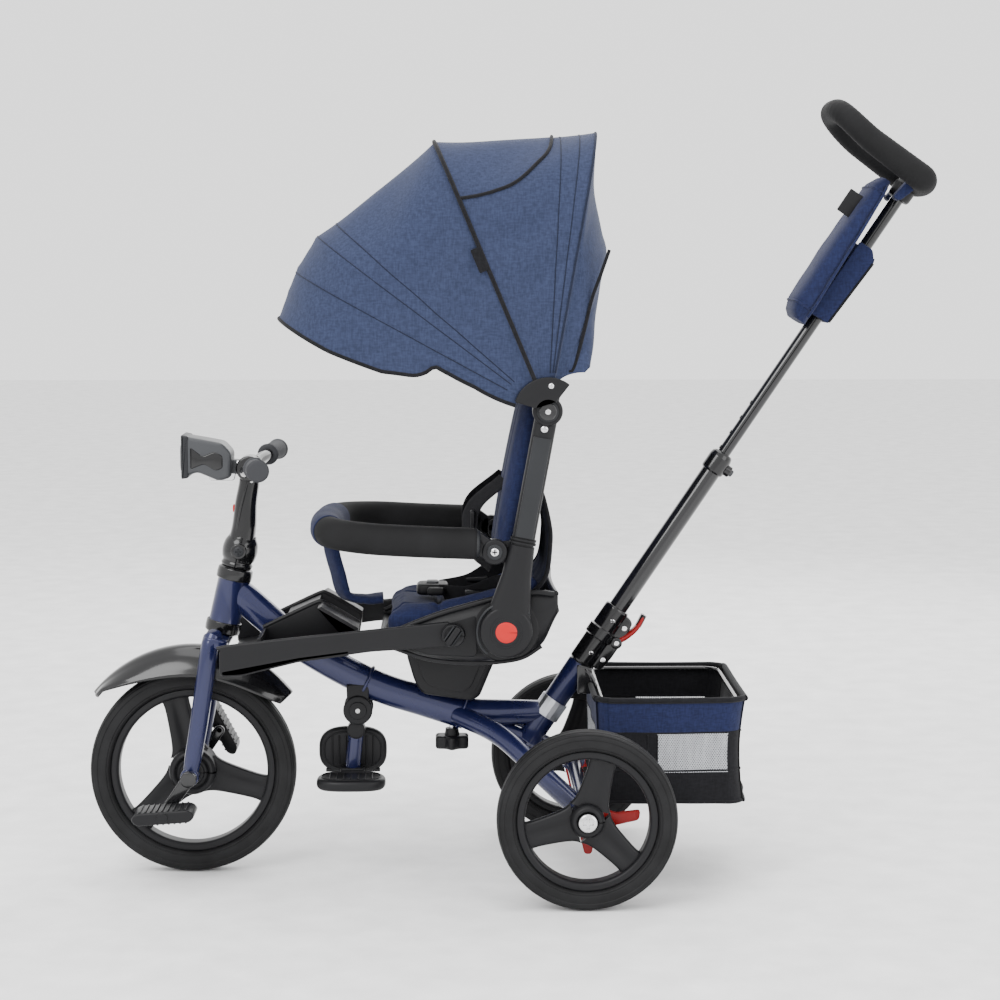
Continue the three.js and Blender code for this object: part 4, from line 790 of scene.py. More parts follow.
class TRICYCLE_OT_steering(bpy.types.Operator):
    """Make the headset rings, ball joint, stem, handlebar, grips and the grey light unit"""

    bl_idname = "tricycle.steering"
    bl_label = "Stem, handlebar and light"

    def execute(self, context):
        length = np.linalg.norm(middle("headset_upper") - middle("headset_lower"))
        for name, height in (("lower", 0.0), ("upper", length)):
            way = 1 if name == "lower" else -1
            half = [(12.3, -6), (22, -7), (25.4, -4), (26, 3), (25.6, 11), (24, 12), (24, 6.1), (12.3, 6.1)]
            profile = rounded(np.array(half, float) * (1, way) + (0, height), 1.2)
            bearing = Shape().skin(in_head(lathe(profile, axis="z")), wrap_u=True, wrap_v=True)
            bearing.finish(f"bearing_ring_{name}", finishes("gloss"), "chassis", "black_plastic",
                           [f"headset_{name}"])

        joint_ball = Shape()
        profile = [(14, 92), (21, 92.5), (23, 97), (21.5, 101), (24, 107), (25.6, 118), (24, 129), (20, 137),
                   (17, 142), (0, 142)]
        joint_ball.skin(in_head(lathe(curve(profile, 60), axis="z")))
        centre = in_head(np.array([0, 0, 118.0]))
        for _, sign in SIDES:
            joint_ball.disc(centre, 11.5, *side_span(sign, 19, 26.5), 2)
            screw_head(joint_ball, (sign * 26, centre[1], centre[2]), 7.5, sign, 2.4, 1.5, mark=1)
        joint_ball.finish("ball_joint", finishes("gloss", "charcoal"), "steering", "black_plastic",
                          ["steering_ball"])

        stem = Shape()
        spine = curve([(0, -492, 480), (0, -487, 506), (0, -484, 540), (0, -479, 570), (0, -478, 590)], 40)
        t = np.linspace(0, 1, 40)[:, None, None]
        section = oval(2, 2, 0.75)[None] * np.concatenate([17.5 - 3.5 * t + 2 * (1 - t) ** 3,
                                                           17 + 3 * (1 - t) ** 2], -1)
        stem.solid(carry(spine, section, (1, 0, 0.001)))
        for _, sign in SIDES:
            groove = curve([(sign * 16, -497, 500), (sign * 17.5, -490, 535), (sign * 16, -480, 572)], 24)
            stem.tube(groove, 1.8, sides=12, reference=(0, 1, 0))
            stem.disc((0, -474, 574), 2.4, sign * 15, sign * 18.2, 0.6, mark=1)
        stem.disc(BAR_MIDDLE, 18.5, -21, 21, 3)
        for x in (-12, 12):
            stem.bar((x, -496, 600), (x, -462, 600), 3.6, mark=2)
        stem.slab(rounded([(-497, 588), (-459, 588), (-459, 596), (-497, 596)], 3), -19, 19, 2)
        stem.finish("curved_stem", finishes("gloss", "white", "steel"), "steering", "black_plastic", ["stem"])
        button = Shape().bar((0, -503, 533), (0, -489, 533), 6.2, edge=2.2)
        button.finish("height_button", finishes("red"), "stem_button", "red_plastic", ["stem_button"])

        bar = Shape().tube(bar_path(), 9)
        bar.finish("bent_handlebar", finishes("black steel"), "steering", "black_steel", ["handlebar"])
        for side, sign in SIDES:
            path = curve([(sign * 120, -461.5, 601.2), (sign * 155, -456.5, 603),
                          (sign * 195, -450.5, 604)], 70)
            t = np.linspace(0, 1, 70)
            ribs = 0.8 * np.abs(np.sin(t * np.pi * 9))
            flange = 2.6 * np.exp(-(((t - 0.04) / 0.04) ** 2))
            radius = 12.6 + 1.2 * t + ribs + flange
            radius += 1.4 * np.exp(-(((t - 0.97) / 0.05) ** 2))
            Shape().tube(path, radius, edge=3).finish(f"ribbed_grip_{side}", finishes("grip"), "steering",
                                                      "grip_rubber", [f"grip_{side}"])

        unit_side = rounded([(-571, 580), (-551, 588), (-520, 575), (-503, 580), (-502, 616), (-515, 630),
                             (-547, 636), (-571, 640)], 6)
        light = Shape().slab(unit_side, -31, 31, 6)
        waist = rounded([(-561, 592), (-541, 600), (-524, 590), (-514, 594), (-514, 612), (-526, 618),
                         (-543, 611), (-561, 625)], 4)
        light.slab(waist, -32.2, 32.2, 2, mark=1)
        light.slab(rounded([(-574, 578), (-563, 580), (-563, 640), (-574, 642)], 3), -32, 32, 3, mark=2)
        light.slab(box_outline(44, 40, 12) + (0, 608), -576, -572, 1.5, axes="xzy", mark=1)
        light.slab(rounded([(-512, 585), (-478, 582), (-478, 602), (-512, 606)], 4), -11, 11, 3)
        light.slab(rounded([(-536, 574), (-500, 574), (-496, 590), (-536, 586)], 3), -9, 9, 2, mark=3)
        light.finish("light_and_horn", finishes("grey", "gloss", "charcoal", "steel"), "steering",
                     "grey_plastic", ["light_unit"])
        return {"FINISHED"}


# ---- frame --------------------------------------------------------------------------------
HEADSET_GAP = 6.4


class TRICYCLE_OT_frame(bpy.types.Operator):
    """Make the painted main frame with its stays, weld beads and the silver reflector sleeve"""

    bl_idname = "tricycle.frame"
    bl_label = "Main frame"

    def execute(self, context):
        tubes = Shape()
        start = HEADSET_GAP
        end = np.linalg.norm(middle("headset_upper") - middle("headset_lower")) - HEADSET_GAP
        tubes.skin(in_head(lathe([(14, start), (22.5, start), (23.5, start + 2), (22.5, start + 4),
                                  (22.5, end - 4), (23.5, end - 2), (22.5, end), (14, end)], axis="z")),
                   wrap_u=True, wrap_v=True)
        main = curve([(0, -505, 414), (0, -489, 403), (0, -408, 334), (0, -306, 276), (0, -225, 248),
                      (0, -166, 229)], 60)
        tubes.solid(carry(main, oval(44, 38, 0.85), (1, 0, 0.001)))
        socket = leaned([(0, 0, -139), (0, 0, 0)])
        tubes.bar((0, -168, 231), leaned((0, 0, -88)), 21, 17)
        tubes.bar((0, -160, 221), socket[0], 15)
        tubes.bar(socket[0], socket[1], 18, edge=1.5)
        axle = middle("rear_axle")
        tubes.bar((-182, *axle[1:]), (182, *axle[1:]), 11)
        for _, sign in SIDES:
            route = curve([(sign * 6, -180, 231), (sign * 60, -114, 207), (sign * 130, -50, 159),
                           (sign * 177, -8, 128)], 50)
            tubes.tube(route, 15)
            tubes.disc(axle, 19, *side_span(sign, 174, 190), 2)
        for place, size in ((0.62, 22.6), (0.985, 23.2)):
            at = main[int(place * 59)]
            ahead = unit(main[min(59, int(place * 59) + 1)] - main[int(place * 59) - 1])
            circle = ring(60)
            bead = at + np.outer(circle[:, 0] * size * 0.86, (1, 0, 0))
            bead += np.outer(circle[:, 1] * size, np.cross(ahead, (1, 0, 0)))
            tubes.tube(bead, 2.6, sides=12, reference=ahead, closed=True)
        tubes.finish("welded_frame", finishes("paint"), "chassis", "frame_paint", ["main_frame"])

        sleeve = rounded([(18.3, -93), (20.6, -93), (20.6, -65), (18.3, -65)], 0.8, 3)
        shine = Shape().skin(leaned(lathe(sleeve, axis="z", sides=18)), wrap_u=True, wrap_v=True)
        shine.finish("silver_sleeve", finishes("sleeve"), "chassis", "bright_steel", ["reflector_sleeve"],
                     angle=12)
        return {"FINISHED"}


class TRICYCLE_OT_footrest(bpy.types.Operator):
    """Make the foot post with its two folding pads, and the star knob under the seat"""

    bl_idname = "tricycle.footrest"
    bl_label = "Footrest and seat knob"

    def execute(self, context):
        top = pivot("footrest_fold")
        post = Shape()
        post.bar(top, top + (0, -9, -92), 11)
        post.disc(top, 15, -11, 11, 2)
        lower = top + (0, -3, -31)
        post.disc(lower, 13, -14, 14, 3, mark=1)
        post.bar(top - (24, 0, 0), top + (24, 0, 0), 5, mark=1)
        foot = pivot("footpad_left_fold") * (0, 1, 1)
        post.slab(box_outline(24, 36, 6) + foot[:2], foot[2] - 9, foot[2] + 9, 3, "xyz", mark=1)
        for _, sign in SIDES:
            post.slab(box_outline(24, 24, 4) + (sign * 10, foot[1]), foot[2] - 3, foot[2] + 3, 1.5, "xyz",
                      mark=1)
            post.bar(foot + (sign * 19, -40, 0), foot + (sign * 19, 40, 0), 3, mark=1)
        post.finish("foot_post", finishes("paint", "plastic"), "footrest", "frame_paint", ["footrest_post"])

        for side, sign in SIDES:
            hinge = pivot(f"footpad_{side}_fold")
            outline = oval(70, 100, 0.72, 64) + (sign * 30, 0)

            def placed(grid):
                x, y, z = np.moveaxis(grid, -1, 0)
                return hinge + (np.stack([x, y, z], -1) if sign > 0 else np.stack([z, y, -x], -1))

            pad = Shape().slab(outline, -12, 5, 7, "xyz", move=placed)
            for y in np.linspace(-30, 30, 7):
                ends = placed(np.array([(sign * 8.0, y, 5.0), (sign * 52.0, y, 5.0)]))
                pad.bar(ends[0], ends[1], 1.3, sides=12)
            rim = placed(np.hstack([oval(56, 84, 0.72, 64) + (sign * 30, 0), np.full((64, 1), 5.0)]))
            pad.tube(rim, 1.4, sides=10, reference=(0, 0, 1) if sign > 0 else (1, 0, 0), closed=True)
            pad.finish(f"ribbed_footpad_{side}", finishes("plastic"), f"footpad_{side}", "black_plastic",
                       [f"footpad_{side}"])

        bracket = Shape()
        sides = rounded([(-17, 38), (-15, -6), (-9, -15), (9, -15), (15, -6), (17, 38)], 8) + top[1:]
        for _, sign in SIDES:
            bracket.slab(sides, *side_span(sign, 12.5, 19), 2)
            bracket.disc(top, 21.5, *side_span(sign, 15, 23), 3)
            bracket.disc(top, 13, *side_span(sign, 22, 25), 1.5)
            bracket.disc(top, 3.4, *side_span(sign, 24, 26), 0.6, mark=1)
        web = rounded([(-16, 22), (16, 22), (17, 38), (-17, 38)], 3) + top[1:]
        bracket.slab(web, -18, 18, 2)
        bracket.finish("post_bracket", finishes("plastic", "white"), "chassis", "black_plastic",
                       ["footrest_bracket"])

        low, high = corners("seat_clamp_knob")
        centre = (low + high) / 2
        a = np.linspace(0, 2 * np.pi, 144, endpoint=False)
        lobes = (27 * (0.89 + 0.11 * np.cos(6 * a)))[:, None] * ring(144) + centre[:2]
        knob = Shape().slab(lobes, low[2], low[2] + 19, 4, "xyz")
        knob.skin(lathe(curve([(11.5, 196), (10.5, 202), (9.5, 209)], 12), (0, centre[1], 0), "z"),
                  cap=True, wrap_v=True)
        knob.bar((0, centre[1], 200), (0, centre[1], high[2]), 4.5, mark=1)
        knob.finish("star_knob", finishes("plastic", "steel"), "seat_clamp", "black_plastic",
                    ["seat_clamp_knob"])

        for side, sign in SIDES:
            hub = middle("rear_axle")
            lever = [(-14, 12), (12, 14), (40, 2), (76, 6), (74, -8), (38, -16), (16, -16), (8, -56),
                     (-2, -56), (-12, -14)]
            brake = Shape().slab(rounded(np.array(lever, float) + hub[1:], 5),
                                 *side_span(sign, 190.4, 200.4), 2)
            brake.finish(f"foot_brake_{side}", finishes("brake red"), f"brake_{side}", "red_plastic",
                         [f"brake_lever_{side}"])
        return {"FINISHED"}


# ---- seat ---------------------------------------------------------------------------------
SEAT_HALF = 139.0


def along_back(share, off=0.0):
    """A place beside the backrest tubes: a share of the way from the recline pivot to the canopy hinge,
    and a distance behind that line."""
    way = (CANOPY_HINGE - RECLINE) * (0, 1, 1)
    behind = unit(np.array([0.0, way[2], -way[1]]))
    return RECLINE * (0, 1, 1) + way * share + behind * off


class TRICYCLE_OT_seat(bpy.types.Operator):
    """Make the black seat bucket, its pedestal, side ribs and the padded cushion"""

    bl_idname = "tricycle.seat"
    bl_label = "Seat"

    def execute(self, context):
        y = np.linspace(-290, -37, 64)
        floor = np.interp(y, [-290, -250, -210, -160, -96, -62, -46, -37],
                          [356, 338, 328, 324, 325, 342, 368, 412])
        rim = np.interp(y, [-290, -240, -190, -118, -72, -37], [362, 382, 400, 420, 427, 424])
        floor = np.convolve(np.pad(floor, 3, mode="edge"), np.ones(7) / 7, "valid")
        turn = np.linspace(-np.pi / 2, np.pi / 2, 61)[None]
        x = SEAT_HALF * power(np.sin(turn), 0.34) * np.ones((64, 1))
        z = rim[:, None] - (rim - floor)[:, None] * power(np.cos(turn), 0.34)
        bucket = Shape().skin(np.stack([x - np.sign(x) * 2.5, np.broadcast_to(y[:, None], x.shape), z],
                                       axis=-1))
        bucket.finish("seat_bucket", finishes("plastic"), "chassis", "black_plastic", ["seat_base"], thick=5)

        trim = Shape()
        for _, sign in SIDES:
            lip = curve([(sign * 137, a, b) for a, b in
                         ((-288, 363), (-240, 384), (-190, 402), (-118, 421), (-72, 428), (-42, 425))], 40)
            trim.tube(lip, 4.2, sides=16)
            rib = curve([(sign * 138, a, b) for a, b in ((-268, 350), (-215, 333), (-150, 328), (-92, 334),
                                                         (-60, 352))], 36)
            trim.tube(rib, 3, sides=12)
            panel = rounded([(-262, 356), (-222, 340), (-150, 336), (-150, 398), (-236, 374)], 10)
            trim.slab(panel, *side_span(sign, 132, 139.5), 2.5)
            trim.disc(RECLINE, 47, *side_span(sign, 130, 139.2), 3)
        back = curve([(x, -40 - 4 * (1 - (x / 137) ** 2), 426) for x in np.linspace(-137, 137, 9)], 50)
        trim.tube(back, 4.2, sides=16)
        trim.finish("seat_trim", finishes("plastic"), "chassis", "black_plastic")

        side = [(-254, 332), (-240, 284), (-229, 266), (-158, 256), (-146, 262), (-117, 332)]
        foot = Shape().slab(rounded(side, 14), -44, 44, 7)
        for x in (-45.5, 45.5):
            brace = rounded([(-238, 322), (-226, 284), (-204, 274), (-170, 270), (-158, 278), (-140, 322)],
                            10)
            foot.slab(brace, x - 1.5, x + 1.5, 1.2)
        foot.finish("pedestal", finishes("plastic"), "chassis", "black_plastic", ["seat_pedestal"])

        profile = [(-282, 384), (-272, 364), (-242, 356), (-202, 342), (-104, 342), (-68, 356), (-58, 384),
                   (-62, 424), (-84, 430), (-110, 410), (-150, 396), (-200, 392), (-250, 396), (-276, 398)]
        middle_line = rounded(profile, 12, 6)
        cushion = Shape()
        share = np.linspace(-1, 1, 41)
        bolster = np.clip((np.abs(share) - 0.55) / 0.35, 0, 1) ** 2
        grid = np.empty((41, len(middle_line), 3))
        grid[..., 0] = share[:, None] * 121
        ends = np.clip((1 - np.abs(share)) / 0.09, 0, 1) ** 0.5
        centre = middle_line.mean(0)
        section = centre + (middle_line - centre) * (0.82 + 0.18 * ends[:, None, None])
        rise = np.clip((section[..., 1] - 372) / 24, 0, 1) * (26 * bolster)[:, None]
        slope = np.clip((section[..., 0] + 285) / 110, 0.15, 1)
        grid[..., 1] = section[..., 0]
        grid[..., 2] = section[..., 1] + rise * slope
        cushion.solid(grid)
        pad = cushion.finish("seat_pad", finishes("cloth"))
        puff(pad, 5, 4, context.scene.tricycle_sizes.cushion_swell)
        crease_pad(pad, [(0, -205), (1, -62), (1, 62)], depth=5)
        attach(pad, "chassis")
        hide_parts("seat_cushion")
        return {"FINISHED"}


def crease_pad(pad, lines, depth):
    """Presses sewn channels into a pad: along each line of constant X or Y, points on the upper or front
    face move inwards by depth times a bell curve of their distance from the line."""
    points = np.array([v.co for v in pad.data.vertices])
    normals = np.array([v.normal for v in pad.data.vertices])
    design = (points - (0, AXLE_Y, 0)) / MM
    facing = np.clip(np.maximum(normals[:, 2], -normals[:, 1]) * 2 - 0.6, 0, 1)
    push = np.zeros(len(points))
    for axis, place in lines:
        index = 1 if axis == 0 else 0
        push = np.maximum(push, np.exp(-(((design[:, index] - place) / 4.0) ** 2)))
    points -= normals * (push * facing * depth * MM)[:, None]
    pad.data.vertices.foreach_set("co", points.ravel())
    pad.data.update()


def strap(points, width, thickness=2.2, across=(1, 0, 0), count=60):
    """A flat webbing strap: a thin rounded section carried along a smooth line."""
    path = curve(points, count)
    return carry(path, oval(thickness, width, 0.6, 24), across)


class TRICYCLE_OT_harness(bpy.types.Operator):
    """Make the webbing harness with its buckle and the crotch strap"""

    bl_idname = "tricycle.harness"
    bl_label = "Harness"

    def execute(self, context):
        lap = Shape()
        for _, sign in SIDES:
            belt = [(sign * 118, -84, 440), (sign * 96, -118, 436), (sign * 62, -158, 417),
                    (sign * 22, -200, 413)]
            lap.solid(strap(belt, 25, across=(sign * 0.3, -0.4, 1)))
            lap.slab(box_outline(30, 34, 6) + (sign * 72, -150), 417, 423, 2, "xyz", mark=1)
        buckle = box_outline(52, 46, 14) + (0, -214)
        lap.slab(buckle, 408, 424, 5, "xyz", mark=1)
        lap.slab(box_outline(24, 18, 6) + (0, -214), 422, 427, 2, "xyz", mark=2)
        for sign in (-1, 1):
            lap.slab(box_outline(20, 26, 7) + (sign * 32, -208), 410, 421, 3, "xyz", mark=1)
        lap.finish("lap_belt_and_buckle", finishes("webbing", "plastic", "grey"), "chassis", "navy_fabric")

        shoulder = Shape()
        for _, sign in SIDES:
            belt = [(sign * 58, *(along_back(0.64, -38)[1:])), (sign * 64, -152, 545), (sign * 70, -160, 512),
                    (sign * 74, -150, 478), (sign * 84, *(along_back(0.25, -34)[1:]))]
            shoulder.solid(strap(belt, 32, 4, (1, sign * 0.9, 0)))
            shoulder.slab(box_outline(36, 26, 5) + (sign * 66, 525), -159, -153, 2, "xzy", mark=1)
        shoulder.finish("shoulder_straps", finishes("webbing", "plastic"), "backrest", "navy_fabric")

        crotch = Shape()
        front = [(0, -361, 487), (0, -360, 470), (0, -352, 440), (0, -341, 407), (0, -312, 400),
                 (0, -286, 402)]
        crotch.solid(strap(front, 40, 13, (1, 0.5, 0)))
        crotch.finish("crotch_webbing", finishes("cloth"), "safety_bar", "navy_fabric", ["crotch_strap"])
        return {"FINISHED"}


class TRICYCLE_OT_backrest(bpy.types.Operator):
    """Make the backrest: side tubes with covers, recline housings and buttons, hinges and padding"""

    bl_idname = "tricycle.backrest"
    bl_label = "Backrest"

    def execute(self, context):
        shell = Shape()
        back = (CANOPY_HINGE - RECLINE) * (0, 1, 1)
        for _, sign in SIDES:
            side = np.array([sign * SIDE_X, 0, 0])
            path = side + line(along_back(0.3), along_back(0.98), 30)
            shell.solid(carry(path, oval(32, 25, 0.8), (1, 0, 0)))
            t = np.linspace(0, 1, 40)
            sleeve = side + line(along_back(-0.02), along_back(0.39), 40)
            half_y = np.interp(t, [0, 0.3, 0.65, 1], [36, 29, 21, 17.5])
            half_x = np.interp(t, [0, 0.35, 1], [13, 14, 15])
            section = oval(2, 2, 0.72)[None] * np.stack([half_y, half_x], -1)[:, None]
            shell.solid(carry(sleeve, section, (1, 0, 0)))
            for share, half in ((0.4, 18.6), (0.415, 18.2)):
                band = side + line(along_back(share), along_back(share + 0.008), 4)
                shell.solid(carry(band, oval(2 * half, 2 * 15.6, 0.72), (1, 0, 0)))
            cover = side + line(along_back(0.43), along_back(0.88), 24) + (sign * 9.5, 0, 0)
            shell.solid(carry(cover, oval(25, 9, 0.5), (1, 0, 0)), mark=1)
            low, high = side_span(sign, SEAT_HALF + 1.5, 168)
            shell.disc(RECLINE, 37, low, high, 5)
            halo = RECLINE * (0, 1, 1) + np.hstack([np.full((96, 1), sign * 163.0), ring(96) * 40.5])[10:62]
            shell.tube(halo, 1.6, sides=10, reference=(1, 0, 0), mark=1)
            shell.skin(lathe([(17.6, sign * 165), (19.5, sign * 168.6), (22.5, sign * 168.6),
                              (24, sign * 166)],
                             RECLINE * (0, 1, 1)))
            centre = CANOPY_HINGE * (0, 1, 1) + side
            shell.disc(centre, 21, *side_span(sign, 143, 171), 4)
            shell.disc(centre, 15, *side_span(sign, 170, 173.5), 2, mark=1)
            screw_head(shell, centre + (sign * 17.5, 0, 0), 7, sign, 2.6, 1.5, mark=2)
            lower = along_back(0.92) + side
            screw_head(shell, lower + (sign * 13.5, 0, 0), 5, sign, 2.2, 1.2, mark=2)
            post = side + line(along_back(1.0), along_back(1.11), 10)
            shell.solid(carry(post, oval(27, 24, 0.6), (1, 0, 0)))
            screw_head(shell, side + along_back(1.085) + (sign * 12, 0, 0), 4.5, sign, 2, 1.2, mark=2)
            shell.bar(centre, centre + (sign * 26, 0, 0), 4, mark=2)
            lug = rounded([(ARM_HINGE[1] - 6, ARM_HINGE[2] - 12), (ARM_HINGE[1] + 40, ARM_HINGE[2] - 26),
                           (ARM_HINGE[1] + 40, ARM_HINGE[2] + 16), (ARM_HINGE[1] - 4, ARM_HINGE[2] + 12)], 8)
            shell.slab(lug, *side_span(sign, 142, 149), 1.5)
            shell.bar((sign * 142, *ARM_HINGE[1:]), (sign * 163, *ARM_HINGE[1:]), 6)
        u = np.linspace(-1, 1, 31)[:, None, None]
        v = np.linspace(0, 1, 31)[None, :, None]
        hollow = 7 * (1 - u**2)
        board = along_back(0.28, 8) + back * 0.74 * v + unit(np.array([0.0, back[2], -back[1]])) * hollow
        board = board + u * (SIDE_X - 12, 0, 0)
        wall = Shape().skin(board)
        wall.finish("back_panel", finishes("cloth"), "backrest", "navy_fabric", thick=4)
        rear = canopy_rib(REAR + 1.5, 366, 168, 60)
        shell.tube(rear, 3.2, sides=16, reference=(0, 1, 0.2), mark=3)
        shell.finish("backrest_shell", finishes("plastic", "charcoal", "steel", "black steel"), "backrest",
                     "black_plastic", ["backrest_frame"])

        for side, sign in SIDES:
            rise = [(0, 169.6), (9, 169.4), (14, 168.6), (16.6, 167), (17, 164), (17, 156), (0, 156)]
            button = Shape().skin(lathe(np.array(rise) * (1, sign), RECLINE * (0, 1, 1)))
            button.finish(f"red_button_{side}", finishes("red"), f"recline_button_{side}", "red_plastic",
                          [f"recline_button_{side}"])

        share = np.linspace(0, 1, 40)
        thick = 13 + 3 * np.sin(share * np.pi)
        spine = along_back(0, -19) + back * (0.27 + 0.78 * share)[:, None]
        wide = np.interp(share, [0, 0.1, 0.9, 1], [112, 126, 122, 104])
        section = oval(2, 2, 0.55, 72)[None] * np.stack([thick, wide], -1)[:, None]
        pad_shape = Shape().solid(carry(spine, section, (1, 0, 0)))
        pad = pad_shape.finish("back_pad", finishes("cloth"))
        puff(pad, 5, 4, 0.7 * context.scene.tricycle_sizes.cushion_swell)
        crease_pad(pad, [(1, -60), (1, 60)], depth=4)
        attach(pad, "backrest")
        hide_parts("backrest_pad")

        lumbar = Shape()
        fall = curve([(-66, 578), (-58, 560), (-49, 520), (-48, 494), (-54, 450), (-74, 424)], 40)
        across = np.linspace(-1, 1, 41)
        cover = np.empty((40, 41, 3))
        cover[..., 0] = across * 122
        cover[..., 1] = fall[:, :1] - 5 * (1 - np.abs(across) ** 4) + 0.8 * np.sin(across * 14)
        cover[..., 2] = fall[:, 1:]
        lumbar.skin(cover, uv=sheet_map(cover))
        piece = lumbar.finish("lumbar_cloth", finishes("cloth"), "backrest", "navy_fabric", thick=2)
        declare_sheet(cover)
        edging = Shape()
        for index in (0, -1):
            edging.tube(cover[:, index], 3.2, sides=12, reference=(1, 0, 0))
        edging.finish("lumbar_edging", finishes("webbing"), "backrest", "navy_fabric")
        return {"FINISHED"}


class TRICYCLE_OT_safety_bar(bpy.types.Operator):
    """Make the foam safety bar, its cloth wrap, hinge discs and inner frame"""

    bl_idname = "tricycle.safety_bar"
    bl_label = "Safety bar"

    def execute(self, context):
        half = [(155, -150, 499), (155, -230, 502), (149, -305, 506), (101, -355, 508.5), (0, -367, 509)]
        loop = curve(half + [(-x, y, z) for x, y, z in half[-2::-1]], 220)
        foam = Shape().tube(loop, 22, sides=48, edge=5)
        foam.finish("foam_sleeve", finishes("foam"), "safety_bar", "black_foam", ["safety_bar_foam"])
        a = np.linspace(0, 2 * np.pi, 220)
        wrap = Shape()
        part = loop[80:140]
        radius = 23.2 + 0.4 * np.sin(a[:60] * 9)
        wrap.tube(part, radius, sides=48, edge=1.2)
        wrap.finish("cloth_wrap", finishes("cloth"), "safety_bar", "navy_fabric")

        arms = Shape()
        for _, sign in SIDES:
            centre = np.array([sign * SIDE_X, *ARM_HINGE[1:]])
            arms.disc(centre, 18, *side_span(sign, 149, 164), 3)
            arms.disc(centre, 11, *side_span(sign, 163, 165.5), 1.5, mark=1)
            screw_head(arms, centre + (sign * 9.5, 0, 0), 6, sign, 2.4, 1.4, mark=2)
            neck = rounded([(-128, 474), (-128, 503), (-146, 516), (-153, 516), (-153, 483), (-144, 480)], 4)
            arms.slab(neck, *side_span(sign, 149, 162), 3)
            arms.bar((sign * 155, -146, 499), (sign * 155, -158, 499.5), 20, mark=1)
        arms.finish("arm_hinges", finishes("plastic", "charcoal", "steel"), "safety_bar", "black_plastic",
                    ["safety_bar_frame"])
        return {"FINISHED"}


class TRICYCLE_OT_leg_rest(bpy.types.Operator):
    """Make the moulded leg rest with its rails, tray cheeks and side knobs"""

    bl_idname = "tricycle.leg_rest"
    bl_label = "Leg rest"

    def execute(self, context):
        rail = [(-511, 311), (-511, 350), (-505, 354), (-400, 366), (-300, 376), (-190, 387), (-172, 383),
                (-165, 370), (-172, 357), (-190, 353), (-300, 346), (-400, 332), (-480, 312)]
        inner, outer = 140.5, 149.5
        rest = Shape()
        for _, sign in SIDES:
            rest.slab(rounded(rail, 9), *side_span(sign, inner, outer), 2.5)
            lip = curve([(sign * 146, y, z - 2) for y, z in rail[1:6]], 60)
            rest.tube(lip, 3.6, sides=14)
            lower = curve([(sign * 147, y, z + 2) for y,
                           z in ((-500, 313), (-480, 315), (-400, 335), (-300, 349),
                                                               (-200, 356))], 50)
            rest.tube(lower, 2.4, sides=12)
            shelf = [(-508, 312), (-508, 319), (-400, 339), (-330, 348), (-330, 341), (-400, 332),
                     (-480, 313)]
            rest.slab(rounded(shelf, 2), *side_span(sign, 86, outer), 1)
            tray = [(-455, 326), (-455, 334), (-400, 339), (-330, 348), (-330, 341), (-400, 332)]
            rest.slab(rounded(tray, 2), *side_span(sign, 46, 90), 1)
            cheek = [(-455, 328), (-455, 366), (-380, 402), (-372, 403), (-319, 372), (-322, 342),
                     (-400, 333)]
            rest.slab(rounded(cheek, 5), *side_span(sign, 46, 51), 1.6)
            wall = [(-458, 327), (-458, 364), (-452, 367), (-452, 330)]
            rest.slab(rounded(wall, 1), *side_span(sign, 49, 142), 1)
            slope = [(-377, 400), (-371, 403), (-318, 372), (-322, 343), (-327, 343), (-324, 369)]
            rest.slab(rounded(slope, 1.5), *side_span(sign, 49, 100), 1)
            edge = curve([(sign * 48.5, y, z) for y, z in ((-457, 366), (-417, 385), (-380, 402), (-371, 402),
                                                           (-345, 388), (-319, 372))], 60)
            rest.tube(edge, 3.4, sides=12)
        bridge = [(-424, 381), (-378, 401), (-378, 396), (-424, 376)]
        rest.slab(rounded(bridge, 1.5), -48, 48, 1)
        rest.finish("leg_rest_moulding", finishes("plastic"), "leg_rest", "black_plastic", ["leg_rest"])

        for side, sign in SIDES:
            knob = Shape()
            knob.bar((sign * 136, *KNOB[1:]), (sign * 151, *KNOB[1:]), 6)
            rim = [(0, 158), (10, 158), (15, 160.5), (16.5, 158), (16.5, 151), (0, 151)]
            profile = np.array(rim) * (1, sign)
            knob.skin(lathe(rounded(profile, 1.5, 3, closed=False), KNOB * (0, 1, 1)))
            grip = box_outline(9, 30, 4) + KNOB[1:]
            turned = spun(prism(grip, *side_span(sign, 156, 166), 2.5), -35, KNOB * (0, 1, 1))
            knob.solid(turned)
            for offset in (-6.5, 6.5):
                ends = spun(np.array([(sign * 159.5, KNOB[1] + offset, KNOB[2] - 12),
                                      (sign * 159.5, KNOB[1] + offset, KNOB[2] + 12)]), -35, KNOB * (0, 1, 1))
                knob.bar(ends[0], ends[1], 1.5, sides=10, mark=1)
            knob.finish(f"turning_knob_{side}", finishes("plastic", "charcoal"), f"leg_knob_{side}",
                        "black_plastic", [f"leg_knob_{side}"])
        return {"FINISHED"}


# ---- canopy -------------------------------------------------------------------------------
REAR, MIDDLE, FRONT = 79.7, 112.8, 143.5


def canopy_arch(u, half, reach, root, shoulder):
    """A rib's place across the tricycle and its distance out from the hinge: straight up the side, round
    a quarter circle at the shoulder, along the top, and down the other side in mirror."""
    w = 1 - np.abs(2 * u - 1)
    side = np.clip(w / 0.55, 0, 1)
    bend = np.clip((w - 0.55) / 0.25, 0, 1) * np.pi / 2
    top = np.clip((w - 0.8) / 0.2, 0, 1)
    out = root + (reach - shoulder - root) * side + shoulder * np.sin(bend)
    across = half - shoulder * (1 - np.cos(bend)) - (half - shoulder) * top
    return np.sign(0.5 - u + 1e-12) * across, out


def canopy_point(across, out, angle):
    a = np.radians(angle)
    return np.stack([across, CANOPY_HINGE[1] + out * np.cos(a), CANOPY_HINGE[2] + out * np.sin(a)], axis=-1)


